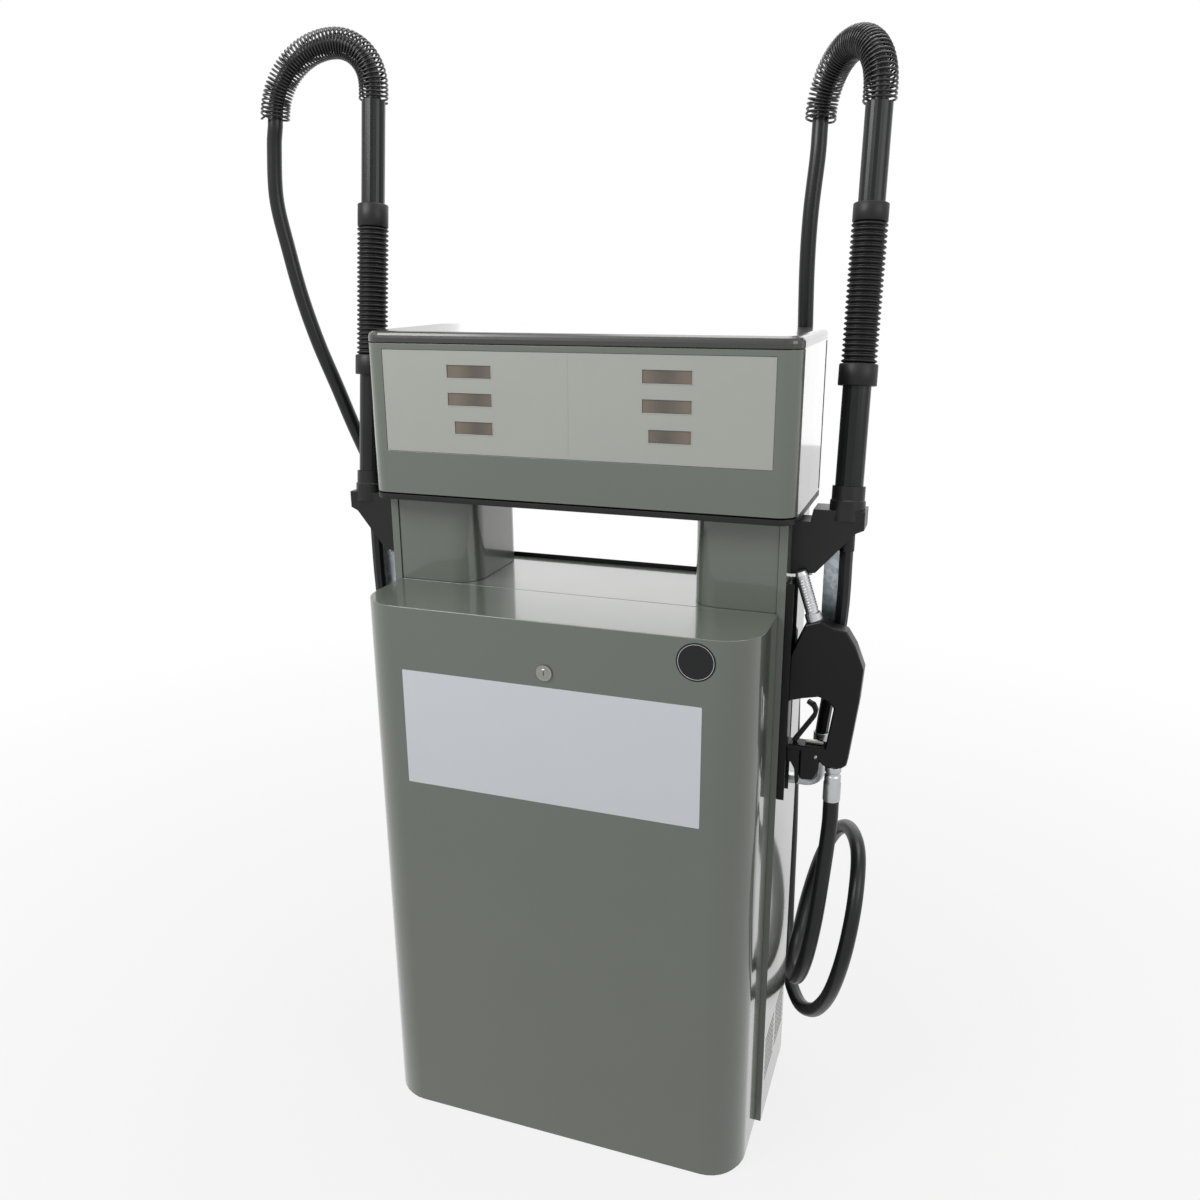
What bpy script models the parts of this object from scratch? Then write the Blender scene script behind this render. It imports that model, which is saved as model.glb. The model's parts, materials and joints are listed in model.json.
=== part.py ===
"""Free-standing twin-hose fuel dispenser, in metres, +Z up, front towards -Y.

The origin is the centre of the base frame's underside. Right is +X. Each side
carries a nozzle in its holster and a leaning mast that lifts the hose.
"""

import math

import bmesh
import bpy
from mathutils import Matrix, Vector

# Running gap between pieces that touch
GAP = 0.0003

# Cabinet
COVER_WIDTH = 0.700
CABINET_DEPTH = 0.396
COVER_HEIGHT = 1.025
COVER_TOP_DEPTH = 0.158
COVER_WALL = 0.003
COVER_CORNER = 0.070
FLOOR_GAP = 0.004
REAR_COVER_DEPTH = 0.018
REAR_CORNER = 0.012
SHELF_WALL = 0.005
SEAL_THICK = 0.003
SEAL_RISE = 0.008

LOCK_RADIUS = 0.011
LOCK_DROP = 0.087
REAR_LOCK_DROP = 0.100

# Side panels and base frame
PANEL_STEP = 0.011
PANEL_FACE = 0.014
PANEL_WALL = 0.003
BASE_HEIGHT = 0.055
BASE_FLOOR = 0.006
BASE_WALL = 0.006
BASE_CORNER = 0.066
ANCHOR_RADIUS = 0.007
LOUVRE_COUNT = 8
LOUVRE_PITCH = 0.0125
LOUVRE_HEIGHT = 0.005
LOUVRE_LENGTH = 0.085
LOUVRE_LOW = 0.085

# Columns and the window between them
WINDOW_WIDTH = 0.400
WINDOW_HEIGHT = 0.156
COLUMN_CORNER = 0.047
COLUMN_WALL = 0.0025

# Head
HEAD_SIDE_OVERHANG = 0.014
HEAD_FRONT_OVERHANG = 0.040
HEAD_HEIGHT = 0.289
HEAD_CORNER = 0.030
GASKET_HEIGHT = 0.010
DOOR_DEPTH = 0.0305
DOOR_WALL = 0.003
CAP_HEIGHT = 0.018
CAP_ROOF = 0.006
CAP_ROUND = 0.011
DIAL_WIDTH = 0.676
DIAL_HEIGHT = 0.172
DIAL_LOW = 0.087
DIAL_THICK = 0.0025
SCREEN_HEIGHT = 0.020
SCREEN_EDGES = (-0.136, 0.2065)
SCREEN_ROWS = ((0.034, 0.080), (0.080, 0.080), (0.1275, 0.069))

# Masts, right (1) and left (-1); heights run up from the foot of each mast
MAST_REACH = {1: 0.0827, -1: 0.0770}
MAST_RISE = {1: 0.015, -1: -0.008}
MAST_Y = 0.024
MAST_LEAN = math.radians(8)
BRACKET_WIDTH = 0.050
SOCKET_RADIUS = 0.0285
COLLAR_RADIUS = 0.0265
COLLAR_HEIGHT = 0.036
LOWER_TUBE_RADIUS = 0.0225
UPPER_TUBE_RADIUS = 0.021
CUFF_RADIUS = 0.0305
UPPER_CUFF_RADIUS = 0.0275
RIB_RADIUS = 0.028
CUFF_LOW = {1: 0.194, -1: 0.213}
BELLOWS_LOW = {1: 0.228, -1: 0.248}
BELLOWS_HIGH = {1: 0.442, -1: 0.474}
CUFF_HIGH = {1: 0.470, -1: 0.5136}
UPPER_TUBE_TOP = {1: 0.616, -1: 0.690}
ARCH_RISE = 0.0205
ARCH_START_RADIUS = {1: 0.090, -1: 0.080}
ARCH_END_RADIUS = {1: 0.090, -1: 0.120}
GUARD_RADIUS = 0.0265
ARCH_HEADING = {1: (-0.6088, 0.7933), -1: (-0.9986, -0.0523)}

# Hoses and outlets
HOSE_RADIUS = 0.0135
RISER_RADIUS = 0.011
RISER_Y = 0.034
RISER_DROP = 0.073
OUTLET_DROP = 0.325
OUTLET_REACH = 0.062

# Nozzles: heights are above the foot of the handle
NOZZLE_DROP = 0.265
NOZZLE_THICK = 0.034
SPOUT_RADIUS = 0.0105
SPOUT_LENGTH = 0.085
HOLSTER_THICK = 0.005
HOLSTER_HALF = 0.021
HOLSTER_CHEEK = 0.003
HOLSTER_FOOT = -0.070
HOLSTER_TOP = 0.318
LEFT_NOZZLE_Y = 0.135

# Hydraulics inside the cabinet
MOTOR_RADIUS = 0.072
MOTOR_LENGTH = 0.190
MOTOR_X = -0.165
PUMP_X = 0.095
DRIVE_HEIGHT = 0.165
PUMP_SIZE = 0.150
MOTOR_PULLEY_RADIUS = 0.036
PUMP_PULLEY_RADIUS = 0.084
BELT_THICK = 0.007
BELT_WIDTH = 0.013
BELT_Y = -0.135
SHAFT_RADIUS = 0.010
METER_X = 0.185
METER_RADIUS = 0.075
METER_HEIGHT = 0.130
METER_DROP = 0.100

# Worked out from the sizes above
FRONT_Y = -CABINET_DEPTH / 2
BACK_Y = CABINET_DEPTH / 2
COVER_X = COVER_WIDTH / 2
PANEL_X = COVER_X + PANEL_STEP
FACE_X = PANEL_X - PANEL_FACE
SEAM_Y = FRONT_Y + COVER_TOP_DEPTH
PANEL_FRONT = SEAM_Y + 0.0015
COLUMN_FRONT = SEAM_Y + 0.004
PANEL_BACK = BACK_Y - REAR_COVER_DEPTH
COLUMN_BACK = PANEL_BACK - SEAL_THICK
MIDDLE_Y = (COLUMN_FRONT + COLUMN_BACK) / 2
HEAD_LOW = COVER_HEIGHT + WINDOW_HEIGHT
HEAD_HIGH = HEAD_LOW + HEAD_HEIGHT
HEAD_X = PANEL_X + HEAD_SIDE_OVERHANG
HEAD_FRONT = COLUMN_FRONT - HEAD_FRONT_OVERHANG
HEAD_BACK = 2 * MIDDLE_Y - HEAD_FRONT
CASE_LOW = HEAD_LOW + GASKET_HEIGHT
CASE_HIGH = HEAD_HIGH - CAP_HEIGHT
DOOR_LOW = CASE_LOW + 0.0025
DOOR_HIGH = CASE_HIGH - 0.002
MAST_X = {side: PANEL_X + reach for side, reach in MAST_REACH.items()}
MAST_FOOT = {side: HEAD_LOW + rise for side, rise in MAST_RISE.items()}
RIGHT_NOZZLE_Y = PANEL_FRONT + HOLSTER_HALF + HOLSTER_CHEEK
NOZZLE_Y = {1: RIGHT_NOZZLE_Y, -1: LEFT_NOZZLE_Y}
NOZZLE_INNER = HOLSTER_THICK + 2 * GAP + 0.0014
HANDLE_X = PANEL_X + 0.091
NOZZLE_HEIGHT = COVER_HEIGHT - NOZZLE_DROP
OUTLET_HEIGHT = COVER_HEIGHT - OUTLET_DROP
METER_LOW = OUTLET_HEIGHT - METER_DROP
HOLSTER_LOW = NOZZLE_HEIGHT + HOLSTER_FOOT
HOLSTER_HIGH = NOZZLE_HEIGHT + HOLSTER_TOP

LOCK_HEIGHT = COVER_HEIGHT - LOCK_DROP
REAR_LOCK_HEIGHT = COVER_HEIGHT - REAR_LOCK_DROP

SIDES = {"right": 1, "left": -1}

for old in list(bpy.data.objects):
    bpy.data.objects.remove(old)


def finish(name, colour, roughness, metallic=0.0):
    made = bpy.data.materials.new(name)
    made.use_nodes = True
    shader = made.node_tree.nodes["Principled BSDF"]
    shader.inputs["Base Color"].default_value = (*colour, 1)
    shader.inputs["Roughness"].default_value = roughness
    shader.inputs["Metallic"].default_value = metallic
    return made


PAINT = finish("grey_green_paint", (0.19, 0.20, 0.17), 0.35)
BLACK_PAINT = finish("black_paint", (0.015, 0.015, 0.015), 0.45)
RUBBER = finish("black_rubber", (0.012, 0.012, 0.012), 0.75)
HOSE = finish("hose_rubber", (0.014, 0.014, 0.016), 0.5)
DIAL = finish("dial_plastic", (0.48, 0.49, 0.45), 0.4)
SCREEN = finish("display_board", (0.16, 0.14, 0.11), 0.3)
GALVANISED = finish("galvanised_steel", (0.45, 0.47, 0.50), 0.45, 1.0)
ALLOY = finish("bare_alloy", (0.60, 0.60, 0.60), 0.35, 1.0)
NOZZLE_PLASTIC = finish("nozzle_plastic", (0.010, 0.010, 0.011), 0.4)
CAST_IRON = finish("cast_iron_paint", (0.05, 0.09, 0.16), 0.55)
STEEL = finish("bright_steel", (0.55, 0.55, 0.56), 0.3, 1.0)


def keep(name, bm, material, parent=None):
    """Turn a bmesh in world metres into an object, or in the parent's metres when it has one."""
    bmesh.ops.recalc_face_normals(bm, faces=bm.faces)
    mesh = bpy.data.meshes.new(name)
    bm.to_mesh(mesh)
    bm.free()
    mesh.materials.append(material)
    mesh.shade_smooth()
    mesh.set_sharp_from_angle(angle=math.radians(35))
    made = bpy.data.objects.new(name, mesh)
    bpy.context.scene.collection.objects.link(made)
    made.parent = parent
    return made


def pivot(name, place, turn=(0.0, 0.0, 0.0), parent=None):
    """An empty on a joint's axis."""
    made = bpy.data.objects.new(name, None)
    made.location = place
    made.rotation_euler = turn
    made.parent = parent
    bpy.context.scene.collection.objects.link(made)
    return made


def hold(piece, joint):
    """Hang a piece made in world metres on an unturned empty and leave it where it is."""
    piece.data.transform(Matrix.Translation(-joint.location))
    piece.parent = joint
    return piece


def hide(tool):
    tool.hide_render = True
    tool.display_type = "WIRE"


def boolean(target, tool, operation):
    step = target.modifiers.new(tool.name, "BOOLEAN")
    step.operation = operation
    step.object = tool
    hide(tool)
    return target


def cut(target, tool):
    return boolean(target, tool, "DIFFERENCE")


def fuse(target, tool):
    return boolean(target, tool, "UNION")


PLACES = {
    "X": lambda a, b, h: (h, a, b),
    "Y": lambda a, b, h: (a, h, b),
    "Z": lambda a, b, h: (a, b, h),
}


def prism_mesh(outline, axis, low, high, bm=None):
    """A closed solid from an outline in the plane across the axis."""
    bm = bm or bmesh.new()
    place = PLACES[axis]
    floor = [bm.verts.new(place(a, b, low)) for a, b in outline]
    face = bm.faces.new(floor)
    grown = bmesh.ops.extrude_face_region(bm, geom=[face])
    moved = [item for item in grown["geom"] if isinstance(item, bmesh.types.BMVert)]
    shift = Vector(place(0, 0, high - low))
    bmesh.ops.translate(bm, verts=moved, vec=shift)
    return bm


def prism(name, outline, axis, low, high, material, parent=None):
    return keep(name, prism_mesh(outline, axis, low, high), material, parent)


def rectangle(x0, x1, y0, y1):
    return [(x0, y0), (x1, y0), (x1, y1), (x0, y1)]


def block(name, low, high, material, parent=None):
    outline = rectangle(low[0], high[0], low[1], high[1])
    return prism(name, outline, "Z", low[2], high[2], material, parent)


def arc(centre, radius, start, end, steps):
    """Points on an arc, angles in degrees."""
    points = []
    for i in range(steps + 1):
        angle = math.radians(start + (end - start) * i / steps)
        points.append((centre[0] + radius * math.cos(angle), centre[1] + radius * math.sin(angle)))
    return points


def rounded(x0, x1, y0, y1, radius, steps=6):
    """Rectangle with four round corners."""
    points = arc((x1 - radius, y1 - radius), radius, 0, 90, steps)
    points += arc((x0 + radius, y1 - radius), radius, 90, 180, steps)
    points += arc((x0 + radius, y0 + radius), radius, 180, 270, steps)
    points += arc((x1 - radius, y0 + radius), radius, 270, 360, steps)
    return points


def half_rounded(half, front, back, radius, steps=8):
    """Rectangle about x = 0 with round corners at its front only."""
    points = [(half, back), (-half, back)]
    points += arc((-half + radius, front + radius), radius, 180, 270, steps)
    points += arc((half - radius, front + radius), radius, 270, 360, steps)
    return points


def turned_mesh(profile, steps=24, bm=None):
    """Spin a closed profile of (radius, height) points about the Z axis."""
    bm = bm or bmesh.new()
    verts = [bm.verts.new((radius, 0, height)) for radius, height in profile]
    edges = [bm.edges.new(pair) for pair in zip(verts, verts[1:])]
    if profile[0][0] > 0:
        edges.append(bm.edges.new((verts[-1], verts[0])))
    bmesh.ops.spin(
        bm,
        geom=verts + edges,
        cent=(0, 0, 0),
        axis=(0, 0, 1),
        angle=math.tau,
        steps=steps,
        use_merge=True,
    )
    bmesh.ops.remove_doubles(bm, verts=bm.verts, dist=1e-6)
    return bm


def turned(name, profile, place, axis, material, parent=None, steps=24):
    """A turned piece whose profile starts at the place and runs along the axis."""
    bm = turned_mesh(profile, steps)
    turn = Vector((0, 0, 1)).rotation_difference(Vector(axis)).to_matrix().to_4x4()
    bmesh.ops.transform(bm, verts=bm.verts, matrix=Matrix.Translation(place) @ turn)
    return keep(name, bm, material, parent)


def rod(radius, length):
    return [(0, 0), (radius, 0), (radius, length), (0, length)]


def smooth_route(points, spacing):
    """Evenly spaced points on a smooth curve through the route points."""
    route = [Vector(point) for point in points]
    ends = [2 * route[0] - route[1], 2 * route[-1] - route[-2]]
    full = [ends[0], *route, ends[1]]
    fine = []
    for before, start, end, after in zip(full, full[1:], full[2:], full[3:]):
        for i in range(24):
            t = i / 24
            bend = 2 * start + (end - before) * t
            bend += (2 * before - 5 * start + 4 * end - after) * t**2
            bend += (3 * start - before - 3 * end + after) * t**3
            fine.append(bend / 2)
    fine.append(route[-1])
    walked = [0.0]
    for a, b in zip(fine, fine[1:]):
        walked.append(walked[-1] + (b - a).length)
    count = max(2, round(walked[-1] / spacing))
    kept = []
    here = 0
    for i in range(count + 1):
        goal = walked[-1] * i / count
        while here < len(fine) - 2 and walked[here + 1] < goal:
            here += 1
        share = (goal - walked[here]) / (walked[here + 1] - walked[here])
        kept.append(fine[here].lerp(fine[here + 1], share))
    return kept


def tube(name, points, radius, material, resolution=2, parent=None):
    """A solid round bar along the points."""
    curve = bpy.data.curves.new(name, "CURVE")
    curve.dimensions = "3D"
    curve.bevel_depth = radius
    curve.bevel_resolution = resolution
    curve.use_fill_caps = True
    spline = curve.splines.new("POLY")
    spline.points.add(len(points) - 1)
    for spot, point in zip(spline.points, points):
        spot.co = (*point, 1)
    curve.materials.append(material)
    made = bpy.data.objects.new(name, curve)
    made.parent = parent
    bpy.context.scene.collection.objects.link(made)
    return made


def base_frame():
    """Welded tray that carries everything and stands on the floor."""
    half = FACE_X - 2 * GAP
    front = FRONT_Y + COVER_WALL + GAP
    back = BACK_Y - COVER_WALL - GAP
    outline = half_rounded(half, front, back, BASE_CORNER)
    frame = prism("base_frame", outline, "Z", 0, BASE_HEIGHT, BLACK_PAINT)
    wall = BASE_WALL
    pocket = half_rounded(half - wall, front + wall, back - wall, BASE_CORNER - wall)
    cut(frame, prism("base_pocket", pocket, "Z", BASE_FLOOR, BASE_HEIGHT + 0.01, BLACK_PAINT))
    for name, side in SIDES.items():
        low = (min(side * 0.13, side * 0.27), 0.06, -0.01)
        high = (max(side * 0.13, side * 0.27), 0.16, BASE_HEIGHT / 2)
        cut(frame, block(f"pipe_opening_{name}", low, high, BLACK_PAINT))
        for y in (front + 0.10, back - 0.03):
            place = (side * (half - 0.04), y, -0.01)
            drill = turned(f"anchor_{name}", rod(ANCHOR_RADIUS, 0.03), place, (0, 0, 1), STEEL, steps=32)
            cut(frame, drill)
    return frame


def side_panel(name, side):
    """Channel-shaped side that runs from the base to the head, with louvres low down."""
    inner = PANEL_X - PANEL_WALL
    outline = [
        (FACE_X, PANEL_FRONT),
        (PANEL_X, PANEL_FRONT),
        (PANEL_X, PANEL_BACK),
        (FACE_X, PANEL_BACK),
        (FACE_X, PANEL_BACK - PANEL_WALL),
        (inner, PANEL_BACK - PANEL_WALL),
        (inner, PANEL_FRONT + PANEL_WALL),
        (FACE_X, PANEL_FRONT + PANEL_WALL),
    ]
    outline = [(side * x, y) for x, y in outline]
    panel = prism(f"{name}_side_panel", outline, "Z", FLOOR_GAP, HEAD_LOW - GAP, PAINT)
    slots = bmesh.new()
    middle = (PANEL_FRONT + PANEL_BACK) / 2
    span = (PANEL_BACK - PANEL_FRONT) / 2
    length = min(LOUVRE_LENGTH, span - 0.02)
    for start in (middle - length - 0.008, middle + 0.008):
        for i in range(LOUVRE_COUNT):
            low = LOUVRE_LOW + i * LOUVRE_PITCH
            outline = rectangle(start, start + length, low, low + LOUVRE_HEIGHT)
            prism_mesh(outline, "X", side * (inner - 0.004), side * (PANEL_X + 0.004), slots)
    cut(panel, keep(f"{name}_louvre_slots", slots, PAINT))
    hole = (side * (inner - 0.01), RISER_Y, OUTLET_HEIGHT)
    drill = turned(f"{name}_outlet_hole", rod(RISER_RADIUS + GAP, 0.03), hole, (side, 0, 0), PAINT)
    return cut(panel, drill)


def front_cover():
    """Lift-off lower cover: rounded front corners and a flat top reaching back to the columns."""
    back = SEAM_Y
    cover = prism(
        "front_cover",
        half_rounded(COVER_X, FRONT_Y, back, COVER_CORNER),
        "Z",
        FLOOR_GAP,
        COVER_HEIGHT,
        PAINT,
    )
    wall = COVER_WALL
    inside = half_rounded(COVER_X - wall, FRONT_Y + wall, back + 0.05, COVER_CORNER - wall)
    cut(cover, prism("front_cover_inside", inside, "Z", -0.02, COVER_HEIGHT - wall, PAINT))
    place = (0, FRONT_Y - 0.01, LOCK_HEIGHT)
    bore = rod(LOCK_RADIUS + GAP, 0.03)
    return cut(cover, turned("front_lock_hole", bore, place, (0, 1, 0), PAINT))


def rear_cover():
    """Shallow lift-off panel hooked on the back."""
    front = PANEL_BACK + GAP
    outline = [(COVER_X, front), (-COVER_X, front)]
    outline += arc((-COVER_X + REAR_CORNER, BACK_Y - REAR_CORNER), REAR_CORNER, 180, 90, 4)
    outline += arc((COVER_X - REAR_CORNER, BACK_Y - REAR_CORNER), REAR_CORNER, 90, 0, 4)
    cover = prism("rear_cover", outline, "Z", FLOOR_GAP, COVER_HEIGHT - 0.004, PAINT)
    wall = COVER_WALL
    low = (-COVER_X + wall, front - 0.05, -0.02)
    high = (COVER_X - wall, BACK_Y - wall, COVER_HEIGHT - 0.004 - wall)
    cut(cover, block("rear_cover_inside", low, high, PAINT))
    place = (0, BACK_Y + 0.01, REAR_LOCK_HEIGHT)
    bore = rod(LOCK_RADIUS + GAP, 0.03)
    return cut(cover, turned("rear_lock_hole", bore, place, (0, -1, 0), PAINT))


def lock(name, y, outward, height):
    """Cylinder lock with a cam behind the sheet."""
    head = 0.003
    barrel = LOCK_RADIUS - 0.001
    profile = [(0, 0), (LOCK_RADIUS + 0.003, 0), (LOCK_RADIUS + 0.003, head - GAP)]
    profile += [(barrel, head - GAP), (barrel, 0.018), (0, 0.018)]
    made = turned(name, profile, (0, y + outward * head, height), (0, -outward, 0), STEEL, steps=16)
    inner = y - outward * 0.012
    low = (-0.007, min(inner, inner - outward * 0.0025), height - 0.006)
    high = (0.007, max(inner, inner - outward * 0.0025), height + 0.030)
    return fuse(made, block(f"{name}_cam", low, high, STEEL))


def centre_shelf():
    half = FACE_X - 2 * GAP
    low = (-half, SEAM_Y + GAP, COVER_HEIGHT - SHELF_WALL)
    high = (half, COLUMN_BACK - GAP, COVER_HEIGHT)
    return block("centre_shelf", low, high, PAINT)


def rear_seal():
    """Black strip along the back edge of the shelf."""
    half = FACE_X - 2 * GAP
    low = (-half, COLUMN_BACK, COVER_HEIGHT - 0.018)
    high = (half, PANEL_BACK - GAP, COVER_HEIGHT + SEAL_RISE)
    return block("rear_seal", low, high, RUBBER)


def column_cover(name, side):
    """Pressed cover of one column, open towards its side panel."""
    outer = FACE_X - 2 * GAP
    inner = WINDOW_WIDTH / 2
    front = COLUMN_FRONT
    back = COLUMN_BACK - GAP
    wall = COLUMN_WALL
    radius = COLUMN_CORNER
    small = radius - wall
    outline = [(outer, front)]
    outline += arc((inner + radius, front + radius), radius, 270, 180, 6)
    outline += arc((inner + radius, back - radius), radius, 180, 90, 6)
    outline += [(outer, back), (outer, back - wall)]
    outline += arc((inner + radius, back - radius), small, 90, 180, 6)
    outline += arc((inner + radius, front + radius), small, 180, 270, 6)
    outline += [(outer, front + wall)]
    outline = [(side * x, y) for x, y in outline]
    return prism(f"{name}_column_cover", outline, "Z", COVER_HEIGHT + GAP, HEAD_LOW - GAP, PAINT)


def head_gasket():
    outline = rounded(-HEAD_X, HEAD_X, HEAD_FRONT, HEAD_BACK, HEAD_CORNER)
    return prism("head_gasket", outline, "Z", HEAD_LOW, CASE_LOW - GAP, RUBBER)


def head_case():
    """Sheet-metal box of the head, open at the front and the back behind its doors."""
    front = HEAD_FRONT + DOOR_DEPTH + 2 * GAP
    back = HEAD_BACK - DOOR_DEPTH - 2 * GAP
    half = HEAD_X - 0.001
    case = prism("head_case", rectangle(-half, half, CASE_LOW, CASE_HIGH - GAP), "Y", front, back, PAINT)
    inside = rectangle(-half + 0.003, half - 0.003, CASE_LOW + 0.004, CASE_HIGH - 0.004)
    return cut(case, prism("head_case_inside", inside, "Y", front - 0.1, back + 0.1, PAINT))


def head_cap():
    """Dark lid over the head, hollow underneath."""
    outline = rounded(-HEAD_X, HEAD_X, HEAD_FRONT, HEAD_BACK, HEAD_CORNER)
    bm = prism_mesh(outline, "Z", CASE_HIGH, HEAD_HIGH)
    rim = [edge for edge in bm.edges if min(v.co.z for v in edge.verts) > HEAD_HIGH - 1e-5]
    bmesh.ops.bevel(
        bm, geom=rim, offset=CAP_ROUND, segments=4, profile=0.5, affect="EDGES", material=-1
    )
    cap = keep("head_cap", bm, BLACK_PAINT)
    edge = 0.045
    inside = rounded(-HEAD_X + edge, HEAD_X - edge, HEAD_FRONT + edge, HEAD_BACK - edge, 0.02)
    top = HEAD_HIGH - CAP_ROOF
    return cut(cap, prism("head_cap_inside", inside, "Z", CASE_HIGH - 0.01, top, BLACK_PAINT))


def door_outline(front, wall=0.0):
    """Plan of a head door, rounded at its outer corners, front towards -Y."""
    back = front + DOOR_DEPTH + (0.05 if wall else 0)
    return half_rounded(HEAD_X - wall, front + wall, back, HEAD_CORNER - wall, 5)


def head_door(name, back_side):
    """Shallow pan that closes one side of the head."""

    def plan(points):
        return [(x, 2 * MIDDLE_Y - y) for x, y in points] if back_side else points

    door = prism(name, plan(door_outline(HEAD_FRONT)), "Z", DOOR_LOW, DOOR_HIGH, PAINT)
    inside = plan(door_outline(HEAD_FRONT, DOOR_WALL))
    low = DOOR_LOW + DOOR_WALL
    return cut(door, prism(f"{name}_inside", inside, "Z", low, DOOR_HIGH - DOOR_WALL, PAINT))


def dial_rectangle(clear):
    low = HEAD_LOW + DIAL_LOW
    half = DIAL_WIDTH / 2 + clear
    return rectangle(-half, half, low - clear, low + DIAL_HEIGHT + clear)


def screens():
    """Right edge, middle height and width of each display window, three a side."""
    high = HEAD_LOW + DIAL_LOW + DIAL_HEIGHT
    return [(edge, high - drop, width) for edge in SCREEN_EDGES for drop, width in SCREEN_ROWS]


def screen_mesh(clear, front, back):
    bm = bmesh.new()
    half = SCREEN_HEIGHT / 2 + clear
    for edge, z, width in screens():
        outline = rectangle(edge - width - clear, edge + clear, z - half, z + half)
        prism_mesh(outline, "Y", front, back, bm)
    return bm


def front_door_set(joint):
    """Front door, its dial panel and the display board behind it."""
    door = head_door("head_front_door", False)
    opening = dial_rectangle(GAP)
    cut(door, prism("dial_opening", opening, "Y", HEAD_FRONT - 0.01, HEAD_FRONT + 0.02, PAINT))
    hold(door, joint)
    panel_front = HEAD_FRONT + 0.0008
    panel_back = panel_front + DIAL_THICK
    dial = prism("front_dial_panel", dial_rectangle(0), "Y", panel_front, panel_back, DIAL)
    holes = screen_mesh(0.0005, panel_front - 0.01, panel_front + 0.01)
    cut(dial, keep("dial_windows", holes, DIAL))
    hold(dial, joint)
    board_front = HEAD_FRONT + DOOR_WALL + GAP
    low = HEAD_LOW + DIAL_LOW
    outline = rectangle(-0.30, 0.30, low - 0.006, low + DIAL_HEIGHT + 0.006)
    back = board_front + 0.006
    board = prism("front_display_board", outline, "Y", board_front + 0.0015, back, SCREEN)
    blocks = screen_mesh(0, panel_front + 0.0012, board_front + 0.004)
    fuse(board, keep("screen_blocks", blocks, SCREEN))
    feet = bmesh.new()
    for x in (-0.26, 0.26):
        outline = rectangle(x - 0.01, x + 0.01, low + 0.06, low + 0.08)
        prism_mesh(outline, "Y", panel_back + GAP, board_front + 0.003, feet)
    fuse(board, keep("board_feet", feet, SCREEN))
    tools = ("dial_opening", "dial_windows", "screen_blocks", "board_feet")
    for tool in (*tools, "head_front_door_inside"):
        hold(bpy.data.objects[tool], joint)


def electronics_box():
    low = (-0.16, MIDDLE_Y - 0.055, CASE_LOW + 0.004 + GAP)
    high = (0.16, MIDDLE_Y + 0.055, CASE_LOW + 0.150)
    box = block("electronics_box", low, high, GALVANISED)
    low = (-0.158, MIDDLE_Y - 0.053, CASE_LOW - 0.01)
    high = (0.158, MIDDLE_Y + 0.053, CASE_LOW + 0.148)
    return cut(box, block("electronics_inside", low, high, GALVANISED))


def drive():
    """Motor, pump unit, pulleys and belt on the base frame."""
    floor = BASE_FLOOR + GAP
    motor_front = BELT_Y + BELT_WIDTH / 2 + 0.016
    profile = rod(MOTOR_RADIUS, MOTOR_LENGTH)
    motor = turned("motor", profile, (MOTOR_X, motor_front, DRIVE_HEIGHT), (0, 1, 0), CAST_IRON)
    shaft = rod(SHAFT_RADIUS, 0.040)
    place = (MOTOR_X, BELT_Y - BELT_WIDTH / 2, DRIVE_HEIGHT)
    fuse(motor, turned("motor_shaft", shaft, place, (0, 1, 0), STEEL, steps=12))
    low = (MOTOR_X - 0.05, motor_front + 0.03, floor)
    high = (MOTOR_X + 0.05, motor_front + MOTOR_LENGTH - 0.03, DRIVE_HEIGHT - 0.03)
    fuse(motor, block("motor_foot", low, high, CAST_IRON))

    half = PUMP_SIZE / 2
    low = (PUMP_X - half, motor_front, floor)
    high = (PUMP_X + half, motor_front + 0.18, DRIVE_HEIGHT + half + 0.02)
    pump = block("pump_unit", low, high, CAST_IRON)
    place = (PUMP_X, BELT_Y - BELT_WIDTH / 2, DRIVE_HEIGHT)
    fuse(pump, turned("pump_shaft", shaft, place, (0, 1, 0), STEEL, steps=12))

    for name, x, radius in (
        ("motor_pulley", MOTOR_X, MOTOR_PULLEY_RADIUS),
        ("pump_pulley", PUMP_X, PUMP_PULLEY_RADIUS),
    ):
        bore = SHAFT_RADIUS + GAP
        profile = [(bore, 0), (radius, 0), (radius, BELT_WIDTH), (bore, BELT_WIDTH)]
        joint = pivot(f"{name}_axis", (x, BELT_Y, DRIVE_HEIGHT))
        place = (x, BELT_Y - BELT_WIDTH / 2, DRIVE_HEIGHT)
        wheel = turned(name, profile, place, (0, 1, 0), STEEL, steps=32)
        low = (x - 0.004, BELT_Y - BELT_WIDTH / 2 - 0.002, DRIVE_HEIGHT + bore + 0.004)
        high = (x + 0.004, BELT_Y - BELT_WIDTH / 2 + 0.002, DRIVE_HEIGHT + radius - 0.006)
        mark = block(f"{name}_rib", low, high, STEEL)
        fuse(wheel, mark)
        hold(wheel, joint)
        hold(mark, joint)

    belt()


def belt_outline(grow):
    """Open belt round two pulleys of different radius, grown outwards."""
    small = MOTOR_PULLEY_RADIUS + grow
    large = PUMP_PULLEY_RADIUS + grow
    lean = math.degrees(math.asin((large - small) / (PUMP_X - MOTOR_X)))
    points = arc((PUMP_X, DRIVE_HEIGHT), large, -90 - lean, 90 + lean, 14)
    points += arc((MOTOR_X, DRIVE_HEIGHT), small, 90 + lean, 270 - lean, 10)
    return points


def belt():
    low = BELT_Y - BELT_WIDTH / 2 + 0.001
    high = BELT_Y + BELT_WIDTH / 2 - 0.001
    made = prism("v_belt", belt_outline(BELT_THICK), "Y", low, high, RUBBER)
    return cut(made, prism("belt_inside", belt_outline(0.0009), "Y", low - 0.01, high + 0.01, RUBBER))


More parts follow.
